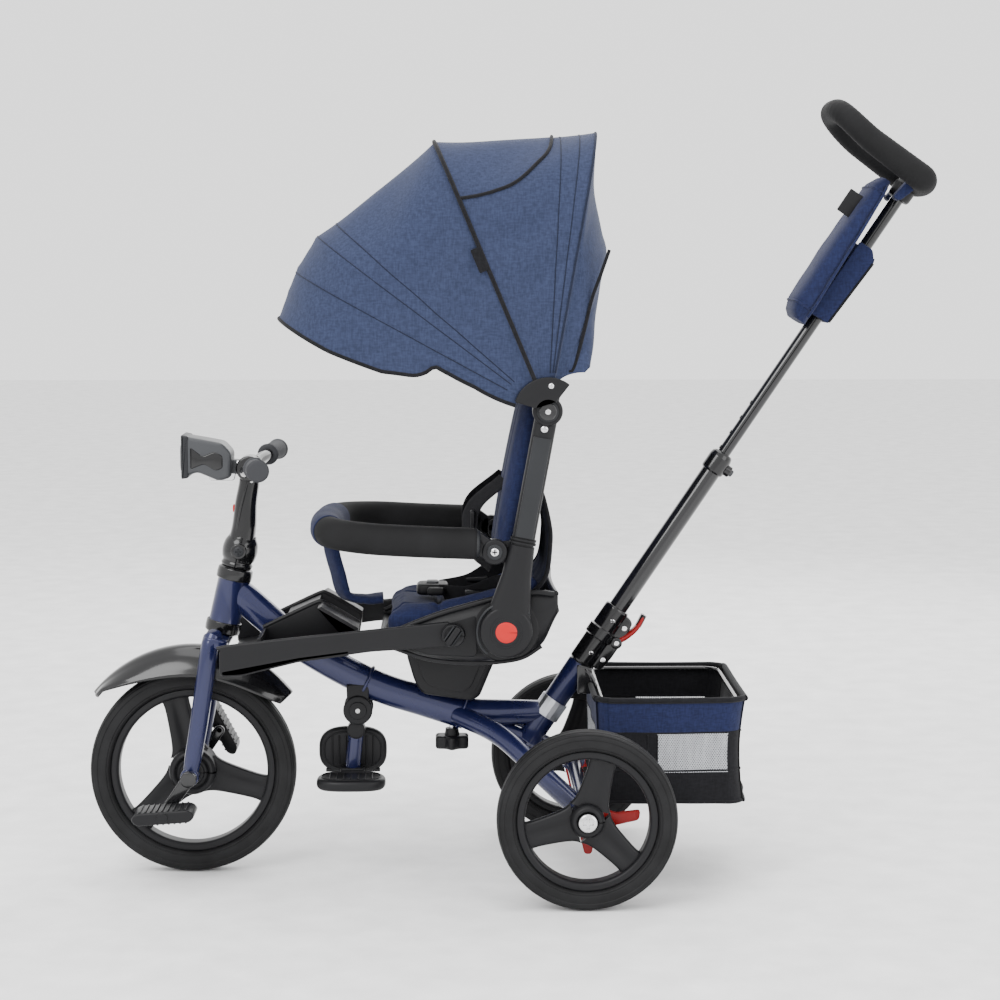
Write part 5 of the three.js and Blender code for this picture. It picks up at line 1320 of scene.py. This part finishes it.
def canopy_rib(angle, reach, half, root, shoulder=112, count=140):
    across, out = canopy_arch(np.linspace(0, 1, count), half, reach, root,
                              min(shoulder, 0.9 * (reach - root)))
    return canopy_point(across, out, angle)


def canopy_bay(first, second, u, v, sag=5.0, root=46, lift=0.0):
    """A place on the cloth between two ribs, each an angle, a reach and a half width: on the straight line
    between them, drawn in towards the hinge by sag times the sine of the share across, with slanting
    tension folds over the shoulders, and lifted outwards again by lift."""
    ends = []
    for angle, reach, half in (first, second):
        across, out = canopy_arch(u, half, reach, root, min(112, 0.9 * (reach - root)))
        turn = visor_edge(out) if angle > FRONT + 12 else np.full(np.shape(u), float(angle))
        ends.append(canopy_point(across, out, turn))
    place = ends[0] + (ends[1] - ends[0]) * v[..., None]
    w = 1 - np.abs(2 * u - 1)
    span = abs(second[0] - first[0]) / 30
    bow = np.sin(np.pi * v)
    folds = 4.5 * span * np.sin(34 * w + 6 * v) * np.sin(np.pi * np.clip((w - 0.15) / 0.75, 0, 1))
    inward = unit(np.array([0.0, *CANOPY_HINGE[1:]]) + (0, 0, 60) - place)
    return place + inward * (bow * (sag * span + folds) - lift)[..., None]


def canopy_sheet(ribs, columns=160, rows=16, sag=5.0):
    """Cloth stretched over a row of ribs."""
    u = np.linspace(0, 1, columns + 1)[None]
    bands = []
    for number, (first, second) in enumerate(zip(ribs[:-1], ribs[1:])):
        v = np.linspace(0, 1, rows + 1)[:, None]
        v = v if number == len(ribs) - 2 else v[:-1]
        bands.append(canopy_bay(first, second, np.broadcast_to(u, (len(v), columns + 1)),
                                np.broadcast_to(v, (len(v), columns + 1)), sag))
    return np.concatenate(bands)


def sheet_map(grid):
    """Lengths along both directions of a sheet, in millimetres, as its map."""
    along = np.cumsum(np.linalg.norm(np.diff(grid, axis=1, prepend=grid[:, :1]), axis=-1), axis=1)
    down = np.cumsum(np.linalg.norm(np.diff(grid, axis=0, prepend=grid[:1]), axis=-1), axis=0)
    return np.stack([along, down], axis=-1)


def sheet_area(grid):
    """The area of a grid of quads, as two triangles each, in square metres."""
    a, b, c, d = grid[:-1, :-1], grid[1:, :-1], grid[1:, 1:], grid[:-1, 1:]
    one = np.linalg.norm(np.cross(b - a, c - a), axis=-1)
    two = np.linalg.norm(np.cross(c - a, d - a), axis=-1)
    return float((one.sum() + two.sum()) / 2 * MM**2)


def declare_sheet(grid):
    """Works out the flat cut of a stretched sheet, its longest two measures and its area, and keeps none of
    it.
    """
    sizes = sheet_map(grid)
    width, length = (round(sizes[..., k].max() * MM, 3) for k in (0, 1))
    min(sheet_area(grid), width * length)


def fold_with_hinge(piece, start_angle, end_angle):
    """Bakes the piece's transform into its mesh. It works out a point at each of the two rib angles about the
    hinge, but nothing uses them, so the cloth is not made to follow the ribs."""
    at = [metres(canopy_point(np.float64(0), np.float64(300), angle)) for angle in (start_angle, end_angle)]
    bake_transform(piece)


def visor_edge(out):
    """The visor's lower edge as an angle about the hinge, by distance out: deepest over the face, with a
    rounded corner cut back beside the hinge."""
    return np.interp(out, [46, 106, 144, 167, 171, 176, 184, 194, 234, 313, 400],
                     [169, 161.3, 159.1, 158, 159.5, 162, 164, 165, 166.3, 164.5, 161.3])


class TRICYCLE_OT_canopy(bpy.types.Operator):
    """Make the canopy: stretched panels, visor, rear curtain, vent flap, piping, seams in darkened cloth as
    painted shade, and bows
    """

    bl_idname = "tricycle.canopy"
    bl_label = "Canopy"

    def execute(self, context):
        sizes = context.scene.tricycle_sizes
        pipe = sizes.piping
        thick = sizes.cloth_thickness
        rear_rib, middle_rib, front_rib = (REAR, 391, 178), (MIDDLE, 402, 184), (FRONT, 401, 184)

        curtain = [(REAR, 391, 178), (79.4, 376, 177), (77.5, 313, 172), (72.5, 262, 168), (68.6, 236, 166),
                   (66, 190, 164), (61, 140, 163), (51, 98, 162), (46, 84, 162)]
        places = curve(curtain, 44)
        u = np.linspace(0, 1, 121)
        rows = []
        for angle, reach, half in places:
            root = np.interp(angle, [46, 70], [74, 46])
            across, out = canopy_arch(u, half, reach, root, min(112, 0.75 * (reach - root)))
            rows.append(canopy_point(across, out, angle))
        grid = np.array(rows)
        rear = Shape().skin(grid, uv=sheet_map(grid))
        piece = rear.finish("canopy_curtain", finishes("canopy"), "backrest", "canopy_fabric",
                            ["canopy_rear_panel"], thick=thick)
        declare_sheet(grid)

        grid = canopy_sheet([rear_rib, middle_rib], rows=30)
        roof = Shape().skin(grid, uv=sheet_map(grid))
        piece = roof.finish("canopy_roof", finishes("canopy"), None, "canopy_fabric", ["canopy_middle_panel"],
                            thick=thick)
        declare_sheet(grid)
        fold_with_hinge(piece, REAR, MIDDLE)

        visor = [front_rib, (150.5, 400, 184), (155.5, 397, 183), (161.6, 396, 182)]
        grid = canopy_sheet([middle_rib, *visor], rows=20)
        front = Shape().skin(grid, uv=sheet_map(grid))
        piece = front.finish("canopy_front", finishes("canopy"), None, "canopy_fabric",
                             ["canopy_front_panel"], thick=thick)
        declare_sheet(grid)
        fold_with_hinge(piece, MIDDLE, FRONT)

        edge = grid[-1]
        hem = Shape().tube(edge, pipe * 1.15, sides=14, reference=(0, 0.6, 1))
        u = np.linspace(0.02, 0.98, 150)
        # Thin raised tubes along two seams and the visor fold, in the darkened seam cloth: real seams, with
        # painted shade for the dark lines in their creases.
        for first, second, v in ((middle_rib, front_rib, 0.84), (middle_rib, front_rib, 0.985),
                                 (visor[1], visor[2], 0.2)):
            seam_shade = canopy_bay(first, second, u, np.full(150, v), lift=0.7)
            hem.tube(seam_shade, 0.9, sides=8, reference=(0, 1, 0.3), mark=1)
        hem.finish("visor_piping", finishes("webbing", "seam_shade"), "canopy_front", "canopy_fabric")

        middle_pipe = Shape().tube(canopy_rib(MIDDLE, 403.5, 186, 47), pipe * 1.25, sides=16,
                                   reference=(0, 1, 0.4))
        tag = box_outline(13, 34, 2)
        across, out = 187.0, 228.0
        for sign in (1, -1):
            centre = canopy_point(np.float64(sign * across), np.float64(out), MIDDLE + 1.6)
            middle_pipe.slab(spun(np.hstack([np.zeros((len(tag), 1)), tag]), MIDDLE - 90)[:, 1:] + centre[1:],
                             *side_span(sign, 186.5, 189), 0.8)
        middle_pipe.finish("middle_piping", finishes("webbing"), "canopy_middle", "canopy_fabric")
        side = [(0.584, MIDDLE), (0.598, 104), (0.616, 97.6), (0.66, 92.5), (0.72, 89.3), (0.86, 88.6),
                (1, 88.5)]
        shaped = np.array(side) * (300, 1)
        line_up = curve(np.vstack([shaped, (shaped[-2::-1] * (-1, 1)) + (600, 0)]), 120) / (300, 1)
        u = line_up[:, 0] / 2
        end = (line_up[:, 1] - REAR) / (MIDDLE - REAR)
        part = np.linspace(0, 1, 14)[:, None]
        v = np.clip(1 + (end - 1) * part, 0, 1)
        flap_grid = canopy_bay(rear_rib, middle_rib, np.broadcast_to(u, v.shape), v, lift=1.6)
        flap_line = canopy_bay(rear_rib, middle_rib, u, np.clip(end, 0, 1), lift=2.4)
        flap = Shape().skin(flap_grid, uv=sheet_map(flap_grid))
        flap.tube(flap_line, pipe, sides=14, reference=(0, 0.2, 1), mark=1)
        piece = flap.finish("vent_flap", finishes("canopy", "webbing"), None, "canopy_fabric")
        fold_with_hinge(piece, REAR, MIDDLE)

        edges = Shape()
        u = np.linspace(0.01, 0.99, 150)
        # The rear edge and the two seam lines behind it, marked one, use the darkened seam cloth: painted
        # shade for the dark crease lines along them.
        edges.tube(canopy_bay(rear_rib, middle_rib, u, np.zeros(150), lift=0.4), 1.6, sides=12,
                   reference=(0, 1, 0.1), mark=1)
        for v in (0.1, 0.22):
            edges.tube(canopy_bay(rear_rib, middle_rib, u, np.full(150, v), lift=0.7), 0.9, sides=8,
                       reference=(0, 1, 0.1), mark=1)
        low = [(69.2, 237), (68.9, 200), (68.6, 166), (65, 115), (59, 70), (62, 62)]
        for sign in (1, -1):
            trim = [canopy_point(np.float64(sign * (160 + out / 30)), np.float64(out), angle) for angle,
                    out in low]
            edges.tube(curve(trim, 40), pipe, sides=12, reference=(1, 0.2, 0))
        edges.finish("rear_piping", finishes("webbing", "seam_shade"), "backrest", "canopy_fabric")

        for name, body, angle, node in (("middle_bow", "canopy_middle", MIDDLE, "canopy_middle_bow"),
                                        ("front_bow", "canopy_front", FRONT, "canopy_front_bow")):
            bow = Shape().tube(canopy_rib(angle, 396, 179, 16), 3.2, sides=16, reference=(0, 1, 0.4))
            for _, sign in SIDES:
                inner = 176.5 if angle == MIDDLE else 171.5
                bow.disc(CANOPY_HINGE, 12, *side_span(sign, inner, inner + 4), 1.2)
            bow.finish(name, finishes("black steel"), body, "black_steel", [node])
        bracket = Shape()
        for _, sign in SIDES:
            arc = np.radians(np.linspace(52, 163, 30))
            outer = np.stack([CANOPY_HINGE[1] + 48 * np.cos(arc), CANOPY_HINGE[2] + 48 * np.sin(arc)], axis=1)
            inner_arc = np.stack([CANOPY_HINGE[1] + 16 * np.cos(arc[::-1]),
                                  CANOPY_HINGE[2] + 16 * np.sin(arc[::-1])], 1)
            bracket.slab(rounded(np.vstack([outer, inner_arc]), 2, 2),
                         *side_span(sign, 185.6, 189.6), 1.5)
            screw_head(bracket, np.array([sign * 189, CANOPY_HINGE[1] + 4, CANOPY_HINGE[2] + 36]), 4, sign,
                       2, 1, mark=1)
        bracket.finish("canopy_bracket", finishes("plastic", "steel"), "backrest", "black_plastic")
        return {"FINISHED"}


# ---- push pole ----------------------------------------------------------------------------
def on_pole(points):
    """Moves points from the pole's own frame, where Z runs up it and Y behind it."""
    return leaned(points)


class TRICYCLE_OT_pole(bpy.types.Operator):
    """Make the push pole: lower tube, clamp, quick release, collar, upper tube and foam handle"""

    bl_idname = "tricycle.pole"
    bl_label = "Push pole"

    def execute(self, context):
        lower = Shape()
        lower.skin(on_pole(lathe(rounded([(9.7, -84), (9.7, 343), (14, 343), (14, -84)], 1), axis="z",
                                 sides=64)),
                   wrap_u=True, wrap_v=True)
        lower.finish("lower_tube", finishes("black steel"), "chassis", "black_steel", ["lower_mast"])

        clamp = Shape()
        clamp.skin(on_pole(lathe(rounded([(14.2, 1), (17.5, 1), (19, 4), (19, 95), (17.5, 98), (14.2, 98)],
                                         1),
                                 axis="z", sides=72)), wrap_u=True, wrap_v=True)
        ears = rounded([(15, 4), (30, 8), (33, 30), (33, 72), (30, 92), (15, 95)], 6)
        for _, sign in SIDES:
            clamp.slab(ears, *side_span(sign, 3, 9), 2, move=on_pole)
            for z in (22, 78):
                screw_head(clamp, on_pole(np.array([sign * 15, 2, z])), 5.5, sign, 4.5, 1.6, mark=1)
        clamp.skin(on_pole(lathe([(19, 44), (21.5, 46), (21.5, 60), (19, 62)], axis="z", sides=72)),
                   wrap_v=True)
        for z in (22, 78):
            clamp.bar(on_pole(np.array([-11.5, 24, z])), on_pole(np.array([11.5, 24, z])), 4.2, mark=1)
        clamp.finish("tube_clamp", finishes("gloss", "steel"), "chassis", "black_plastic", ["mast_clamp"])

        lever = Shape()
        path = curve([(0, 25, 54), (0, 33, 68), (0, 39, 88), (0, 37.5, 110)], 50)
        t = np.linspace(0, 1, 50)[:, None, None]
        wide = 13 - 4 * t + 2 * np.sin(np.pi * t)
        tall = 4.6 - 1.6 * t
        lever.solid(on_pole(carry(path, oval(2, 2, 0.7)[None] * np.concatenate([tall, wide], -1),
                                 (1, 0, 0.001))))
        tip = path[34:]
        lever.solid(on_pole(carry(tip, oval(9, 19, 0.7), (1, 0, 0.001))), mark=1)
        roller = on_pole(np.array([[-14.0, 26, 54], [14, 26, 54]]))
        lever.bar(roller[0], roller[1], 8.5, mark=1)
        lever.bar(roller[0] - (2.5, 0, 0), roller[1] + (2.5, 0, 0), 4, mark=2)
        lever.finish("release_lever", finishes("dark red", "gloss", "steel"), "quick_release", "red_plastic",
                     ["quick_release_lever"])

        collar = Shape()
        ring_profile = [(9.8, 338), (15.2, 338), (17.2, 341), (17.2, 362), (15.5, 368), (13, 371), (9.8, 371)]
        collar.skin(on_pole(lathe(rounded(ring_profile, 1.2), axis="z", sides=72)), wrap_u=True, wrap_v=True)
        boss = on_pole(np.array([[0, 13.0, 352], [0, 24, 352]]))
        collar.bar(boss[0], boss[1], 8.5, edge=2)
        collar.finish("pole_collar", finishes("gloss"), "chassis", "black_plastic", ["mast_collar"])
        pin = on_pole(np.array([[0, 20.0, 352], [0, 28, 352]]))
        button = Shape().bar(pin[0], pin[1], 5.2, edge=2)
        button.finish("pole_pin_button", finishes("grey"), "pole_pin", "grey_plastic", ["mast_pin_button"])

        upper = Shape()
        upper.skin(on_pole(lathe(rounded([(0, 252), (9.4, 252), (9.4, 836), (0, 836)], 0.5, closed=False),
                                 axis="z", sides=64)))
        for z in (376, 402, 428, 454):
            upper.skin(on_pole(lathe([(3, -9.3), (3, -9.9), (2, -10.2), (0, -10.2)], (0, 0, z), "y", 32)),
                       mark=1)
        upper.finish("upper_tube", finishes("black steel", "charcoal"), "upper_pole", "black_steel",
                     ["upper_mast"])

        arc = np.radians(np.linspace(0, 180, 60))
        bend = np.stack([62 * power(np.cos(arc), 0.55), -62 * power(np.sin(arc), 0.7) - 84,
                         849 + 9 * np.sin(arc)], axis=1)
        loop = np.vstack([line((62, 0, 849), (62, -84, 849), 12)[:-1], bend,
                          line((-62, -84, 849), (-62, 0, 849),
                                                                                 12)[1:]])
        rear = np.stack([62 * np.cos(arc), 14 * np.sin(arc), np.full(60, 849.0)], axis=1)[::-1]
        whole = np.vstack([rear[:-1], loop[:-1]])
        steps = curve(whole, 260, closed=True)
        radius = 19.2 - 2.7 * np.clip(-steps[:, 1] / 146, 0, 1) + 0.15 * np.sin(np.arange(260) * 1.7)
        rise = np.clip(-steps[:, 1] / 146, 0, 1) * 6
        steps[:, 2] += rise
        ends = np.vstack([steps[-1:], steps, steps[:1]])
        sizes = np.concatenate([radius[-1:], radius, radius[:1]])[:, None, None]
        foam = Shape().skin(on_pole(carry(ends, ring(40)[None] * sizes, (0, 0, 1)))[1:-1], wrap_u=True,
                            wrap_v=True)
        foam.skin(on_pole(lathe(rounded([(0, 812), (15, 812), (17, 816), (17.5, 834), (14, 842), (0, 842)], 2,
                                        closed=False), axis="z")), mark=1)
        foam.bar(on_pole(np.array([-44.0, 3, 842])), on_pole(np.array([44.0, 3, 842])), 11, mark=1)
        foam.finish("foam_handle", finishes("foam", "plastic"), "upper_pole", "black_foam", ["push_handle"])
        return {"FINISHED"}


class TRICYCLE_OT_bag(bpy.types.Operator):
    """Make the cloth bag that hangs in front of the push pole, with its tabs, binding and blank tag"""

    bl_idname = "tricycle.bag"
    bl_label = "Handle bag"

    def execute(self, context):
        z = np.linspace(588, 822, 70)
        t = (z - 588) / 234
        near = -11.5 - 12 * t
        deep = np.interp(t, [0, 0.03, 0.1, 0.5, 0.94, 1], [34, 42, 48, 50, 47, 40])
        half = np.interp(t, [0, 0.05, 0.12, 0.7, 0.9, 1], [40, 49, 55, 58, 52, 40])
        turn = ring(72)
        section = power(turn, 0.62)
        grid = np.empty((70, 72, 3))
        grid[..., 0] = half[:, None] * section[:, 0]
        centre = (near - deep) / 2
        grid[..., 1] = centre[:, None] + ((deep + near) / 2)[:, None] * section[:, 1]
        crease = 1.0 * np.sin(9 * t[:, None] * np.pi + 3 * turn[:, 0]) * np.exp(-((turn[:, 1] - 0.2) ** 2))
        grid[..., 1] += crease
        grid[..., 2] = z[:, None]
        bag = Shape().solid(on_pole(grid))
        rim = grid[[6, 63]]
        for row in rim:
            bag.tube(on_pole(row), 1.7, sides=10, reference=(0, 0.4, 1), closed=True)
        for _, sign in SIDES:
            edge = np.stack([sign * (half + 0.6), near - 5, z], axis=1)[3:-3]
            bag.tube(on_pole(edge), 2.0, sides=10, reference=(1, 0, 0))
            tab = rounded([(-13, 806), (-6, 850), (8, 862), (14, 852), (-2, 806)], 6)
            bag.slab(tab, *side_span(sign, 20, 44), 2, move=on_pole)
        label = box_outline(26, 36, 2) + (-55, 766)
        bag.slab(label, 30, 33, 0.8, move=on_pole, mark=2)
        flap = rounded([(11, 608), (15, 608), (20, 716), (17, 722)], 2)
        bag.slab(flap, -30, 30, 1.5, move=on_pole)
        for _, sign in SIDES:
            side = rounded([(-14, 606), (15, 608), (20, 716), (8, 730), (-14, 730)], 4)
            bag.slab(side, *side_span(sign, 27, 31), 1.6, move=on_pole)
            strip = on_pole(np.array([[sign * 30.5, 14.5, 610.0], [sign * 30.5, 19.5, 714]]))
            bag.bar(strip[0], strip[1], 1.9, sides=12, mark=1)
        bag.finish("pole_bag", finishes("cloth", "webbing", "plastic"), "upper_pole", "navy_fabric",
                   ["handle_bag"])
        return {"FINISHED"}


# ---- basket -------------------------------------------------------------------------------
def basket_grid(columns=160, rows=60):
    """The basket's wall: a rounded rectangle whose corner points move in a little towards the foot, with
    slow folds that grow with the distance from the corners."""
    outline = curve(rounded([(150, 16), (150, 228), (-150, 228), (-150, 16)], 32, 6), columns, closed=True)
    t = np.linspace(0, 1, rows)
    centre = np.array([0, 122.0])
    grid = np.empty((rows, columns, 3))
    shrink = 1 - 0.03 * np.sin(np.pi * t) - 0.035 * t**2
    grid[..., :2] = centre + (outline - centre)[None] * shrink[:, None, None]
    u = np.arange(columns) / columns * 2 * np.pi
    outward = unit(outline - centre)
    slow_folds = 1.2 * np.sin(9 * u)[None] * np.sin(np.pi * t)[:, None]
    foot_folds = 0.7 * np.sin(17 * u + 2)[None] * (t**2)[:, None]
    wave = slow_folds + foot_folds
    waist = 13 * np.sin(np.pi * np.clip(t * 1.15, 0, 1))[:, None] * np.clip(outward[None, :, 1], 0, 1) ** 2
    tail = 12 * (np.clip((t - 0.8) / 0.2, 0, 1) ** 1.5)[:, None] * np.clip(outward[None, :, 1], 0, 1) ** 2
    grid[..., :2] += outward[None] * (wave - waist + tail)[..., None]
    sag = 3.5 * np.abs(np.sin(2 * u))[None] * (1 - t)[:, None]
    grid[..., 2] = 277 - 147 * t[:, None] - sag * 0.4
    return grid


class TRICYCLE_OT_basket(bpy.types.Operator):
    """Make the basket's cloth, netting windows, bindings, floor and wire rim"""

    bl_idname = "tricycle.basket"
    bl_label = "Basket"

    def execute(self, context):
        grid = basket_grid()
        rows, columns = grid.shape[:2]
        middle_row = grid[0]
        down = np.linspace(0, 1, rows)[:, None] * np.ones((1, columns))
        x, y = middle_row[:, 0], middle_row[:, 1]
        side_wall = (np.abs(x) > 140) & (y > 97) & (y < 207)
        end_wall = (np.abs(x) < 108) & ((y > 220) | (y < 24))
        window = (side_wall | end_wall)[None] & (down > 0.32) & (down < 0.7)
        mark = np.zeros((rows - 1, columns), int)
        mark[window[:-1]] = 1
        mark[(down[:-1] > 0.7)] = 2
        mark[((np.abs(x) > 112) & ((y < 97) | (y > 207)))[None] & (down[:-1] > 0.31)] = 2
        upright = (np.abs(np.abs(x) - 114) < 6) | (np.abs(y - 92) < 5) | (y > 207) & (np.abs(x) > 120)
        band = upright[None] & (down > 0.31) & (down < 0.85)
        mark[band[:-1]] = 2
        loop = np.concatenate([grid, grid[:, :1]], axis=1)
        wall = Shape().skin(loop, mark=mark, uv=sheet_map(loop))
        piece = wall.finish("basket_cloth", finishes("cloth", "netting", "webbing", "webbing", "netting",
                                                     "webbing"),
                            "chassis", "navy_fabric", ["basket"], thick=1.6)
        piece.modifiers["Thickness"].material_offset = 3
        round(sheet_area(loop), 4)

        trim = Shape()
        for row, radius, mark_ in ((0, 4.2, 0), (19, 1.5, 0), (41, 1.6, 0), (59, 2.6, 0)):
            trim.tube(grid[row], radius, sides=10, closed=True, mark=mark_)
        for spot in np.flatnonzero(np.roll(upright, 1) != upright):
            out = unit(grid[20:42, spot, :2] - (0, 122.0)) * 1.2
            path = grid[20:42, spot].copy()
            path[:, :2] += out
            trim.tube(path, 0.9, sides=8, reference=(1, 1, 0))
        floor = grid[-1][:, :2]
        trim.slab(np.array([0, 122.0]) + (floor - (0, 122.0)) * 0.985, 129, 132.5, 1.2, "xyz")
        trim.finish("basket_binding", finishes("webbing"), "chassis", "navy_fabric")

        wire = Shape()
        hoop = curve(rounded([(140, 26), (140, 218), (-140, 218), (-140, 26)], 28, 6), 140, closed=True)
        wire.tube(np.hstack([hoop, np.full((140, 1), 272.0)]), 3.4, sides=18, closed=True)
        wire.finish("basket_wire", finishes("black steel"), "chassis", "black_steel")

        hook = Shape()
        for _, sign in SIDES:
            hook.tube(curve([(sign * 16, 6, 300), (sign * 22, 14, 292), (sign * 22, 22, 276),
                             (sign * 22, 26, 272)], 20),
                      3.2, sides=14)
        hook.slab(rounded([(-4, 262), (18, 262), (18, 300), (-4, 306)], 5), -21, 21, 2)
        hook.finish("basket_hook", finishes("black steel"), "chassis", "black_steel", ["basket_frame"])

        bolts = Shape()
        for _, sign in SIDES:
            screw_head(bolts, np.array([sign * 176, 6, 141]), 5.5, sign, 2.5, 1.3)
        axle = middle("rear_axle")
        bolts.bar((-214, *axle[1:]), (214, *axle[1:]), 5.8)
        bolts.finish("axle_rod", finishes("steel"), "chassis", "bright_steel", ["rear_axle"])
        return {"FINISHED"}


# ---- stage --------------------------------------------------------------------------------
CAMERA = np.array([3492.2, -182.7, 898.5])
YAW, PITCH = 1.10, 5.79  # degrees, towards +Y and downwards
FOCAL_LENGTH = 87  # millimetres, on a sensor 36 wide
FLOOR_HALF = 14000.0
LAMPS = (("key", (2600, -1900, 2900), 2.2, 95), ("fill", (2400, 2600, 1500), 2.4, 40),
         ("top", (0, 0, 3600), 3.0, 60), ("back", (-2600, 600, 2200), 2.6, 45))  # place, metres wide, watts


class TRICYCLE_OT_stage(bpy.types.Operator):
    """Make the pale floor, the light world, the soft lights and the camera"""

    bl_idname = "tricycle.stage"
    bl_label = "Floor, lights and camera"

    def execute(self, context):
        half = FLOOR_HALF
        ground = Shape().skin(np.array([[(-half, -half, 0), (-half, half, 0)],
                                        [(half, -half, 0), (half, half, 0)]],
                                       float) - (0, 0, 0.4))
        floor = ground.finish("floor", finishes("floor"))

        world = bpy.data.worlds.new("Soft white room")
        world.use_nodes = True
        background = world.node_tree.nodes["Background"]
        background.inputs["Color"].default_value = (1, 1, 1, 1)
        background.inputs["Strength"].default_value = 1.8
        context.scene.world = world
        for name, place, size, strength in LAMPS:
            lamp = bpy.data.lights.new(name, "AREA")
            lamp.shape = "DISK"
            lamp.size = size
            lamp.energy = strength
            source = bpy.data.objects.new(name, lamp)
            source.location = metres(place)
            aim = Vector(metres((0, -200, 500))) - source.location
            source.rotation_euler = aim.to_track_quat("-Z", "Y").to_euler()
            context.scene.collection.objects.link(source)

        camera_data = bpy.data.cameras.new("Camera")
        camera_data.lens = FOCAL_LENGTH
        camera_data.sensor_width = 36
        camera_data.dof.use_dof = False
        camera = bpy.data.objects.new("Camera", camera_data)
        camera.location = metres(CAMERA)
        yaw, pitch = np.radians(YAW), np.radians(PITCH)
        ahead = Vector((-np.cos(yaw) * np.cos(pitch), np.sin(yaw) * np.cos(pitch), -np.sin(pitch)))
        camera.rotation_euler = ahead.to_track_quat("-Z", "Y").to_euler()
        context.scene.collection.objects.link(camera)
        context.scene.camera = camera
        return {"FINISHED"}


OPERATORS = [TRICYCLE_OT_wheels, TRICYCLE_OT_pedals, TRICYCLE_OT_fork, TRICYCLE_OT_steering,
             TRICYCLE_OT_frame,
             TRICYCLE_OT_footrest, TRICYCLE_OT_seat, TRICYCLE_OT_harness, TRICYCLE_OT_backrest,
             TRICYCLE_OT_safety_bar, TRICYCLE_OT_leg_rest, TRICYCLE_OT_canopy, TRICYCLE_OT_pole,
             TRICYCLE_OT_bag,
             TRICYCLE_OT_basket, TRICYCLE_OT_stage]


class TRICYCLE_PT_panel(bpy.types.Panel):
    """Lists the tricycle's colours and sizes, and a button for each piece"""

    bl_idname = "TRICYCLE_PT_panel"
    bl_label = "Children's tricycle"
    bl_space_type = "VIEW_3D"
    bl_region_type = "UI"
    bl_category = "Tricycle"

    def draw(self, context):
        layout = self.layout
        for group in (context.scene.tricycle_colours, context.scene.tricycle_sizes):
            for name in group.bl_rna.properties.keys():
                if name not in ("rna_type", "name"):
                    layout.prop(group, name)
        for operator in OPERATORS:
            layout.operator(operator.bl_idname)


CLASSES = [TricycleColours, TricycleSizes, *OPERATORS, TRICYCLE_PT_panel]


def register():
    for kind in CLASSES:
        bpy.utils.register_class(kind)
    bpy.types.Scene.tricycle_colours = PointerProperty(type=TricycleColours)
    bpy.types.Scene.tricycle_sizes = PointerProperty(type=TricycleSizes)


def unregister():
    del bpy.types.Scene.tricycle_colours
    del bpy.types.Scene.tricycle_sizes
    for kind in reversed(CLASSES):
        bpy.utils.unregister_class(kind)


def main():
    register()
    for operator in OPERATORS:
        group, name = operator.bl_idname.split(".")
        getattr(getattr(bpy.ops, group), name)()
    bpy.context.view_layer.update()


if __name__ == "__main__":
    main()
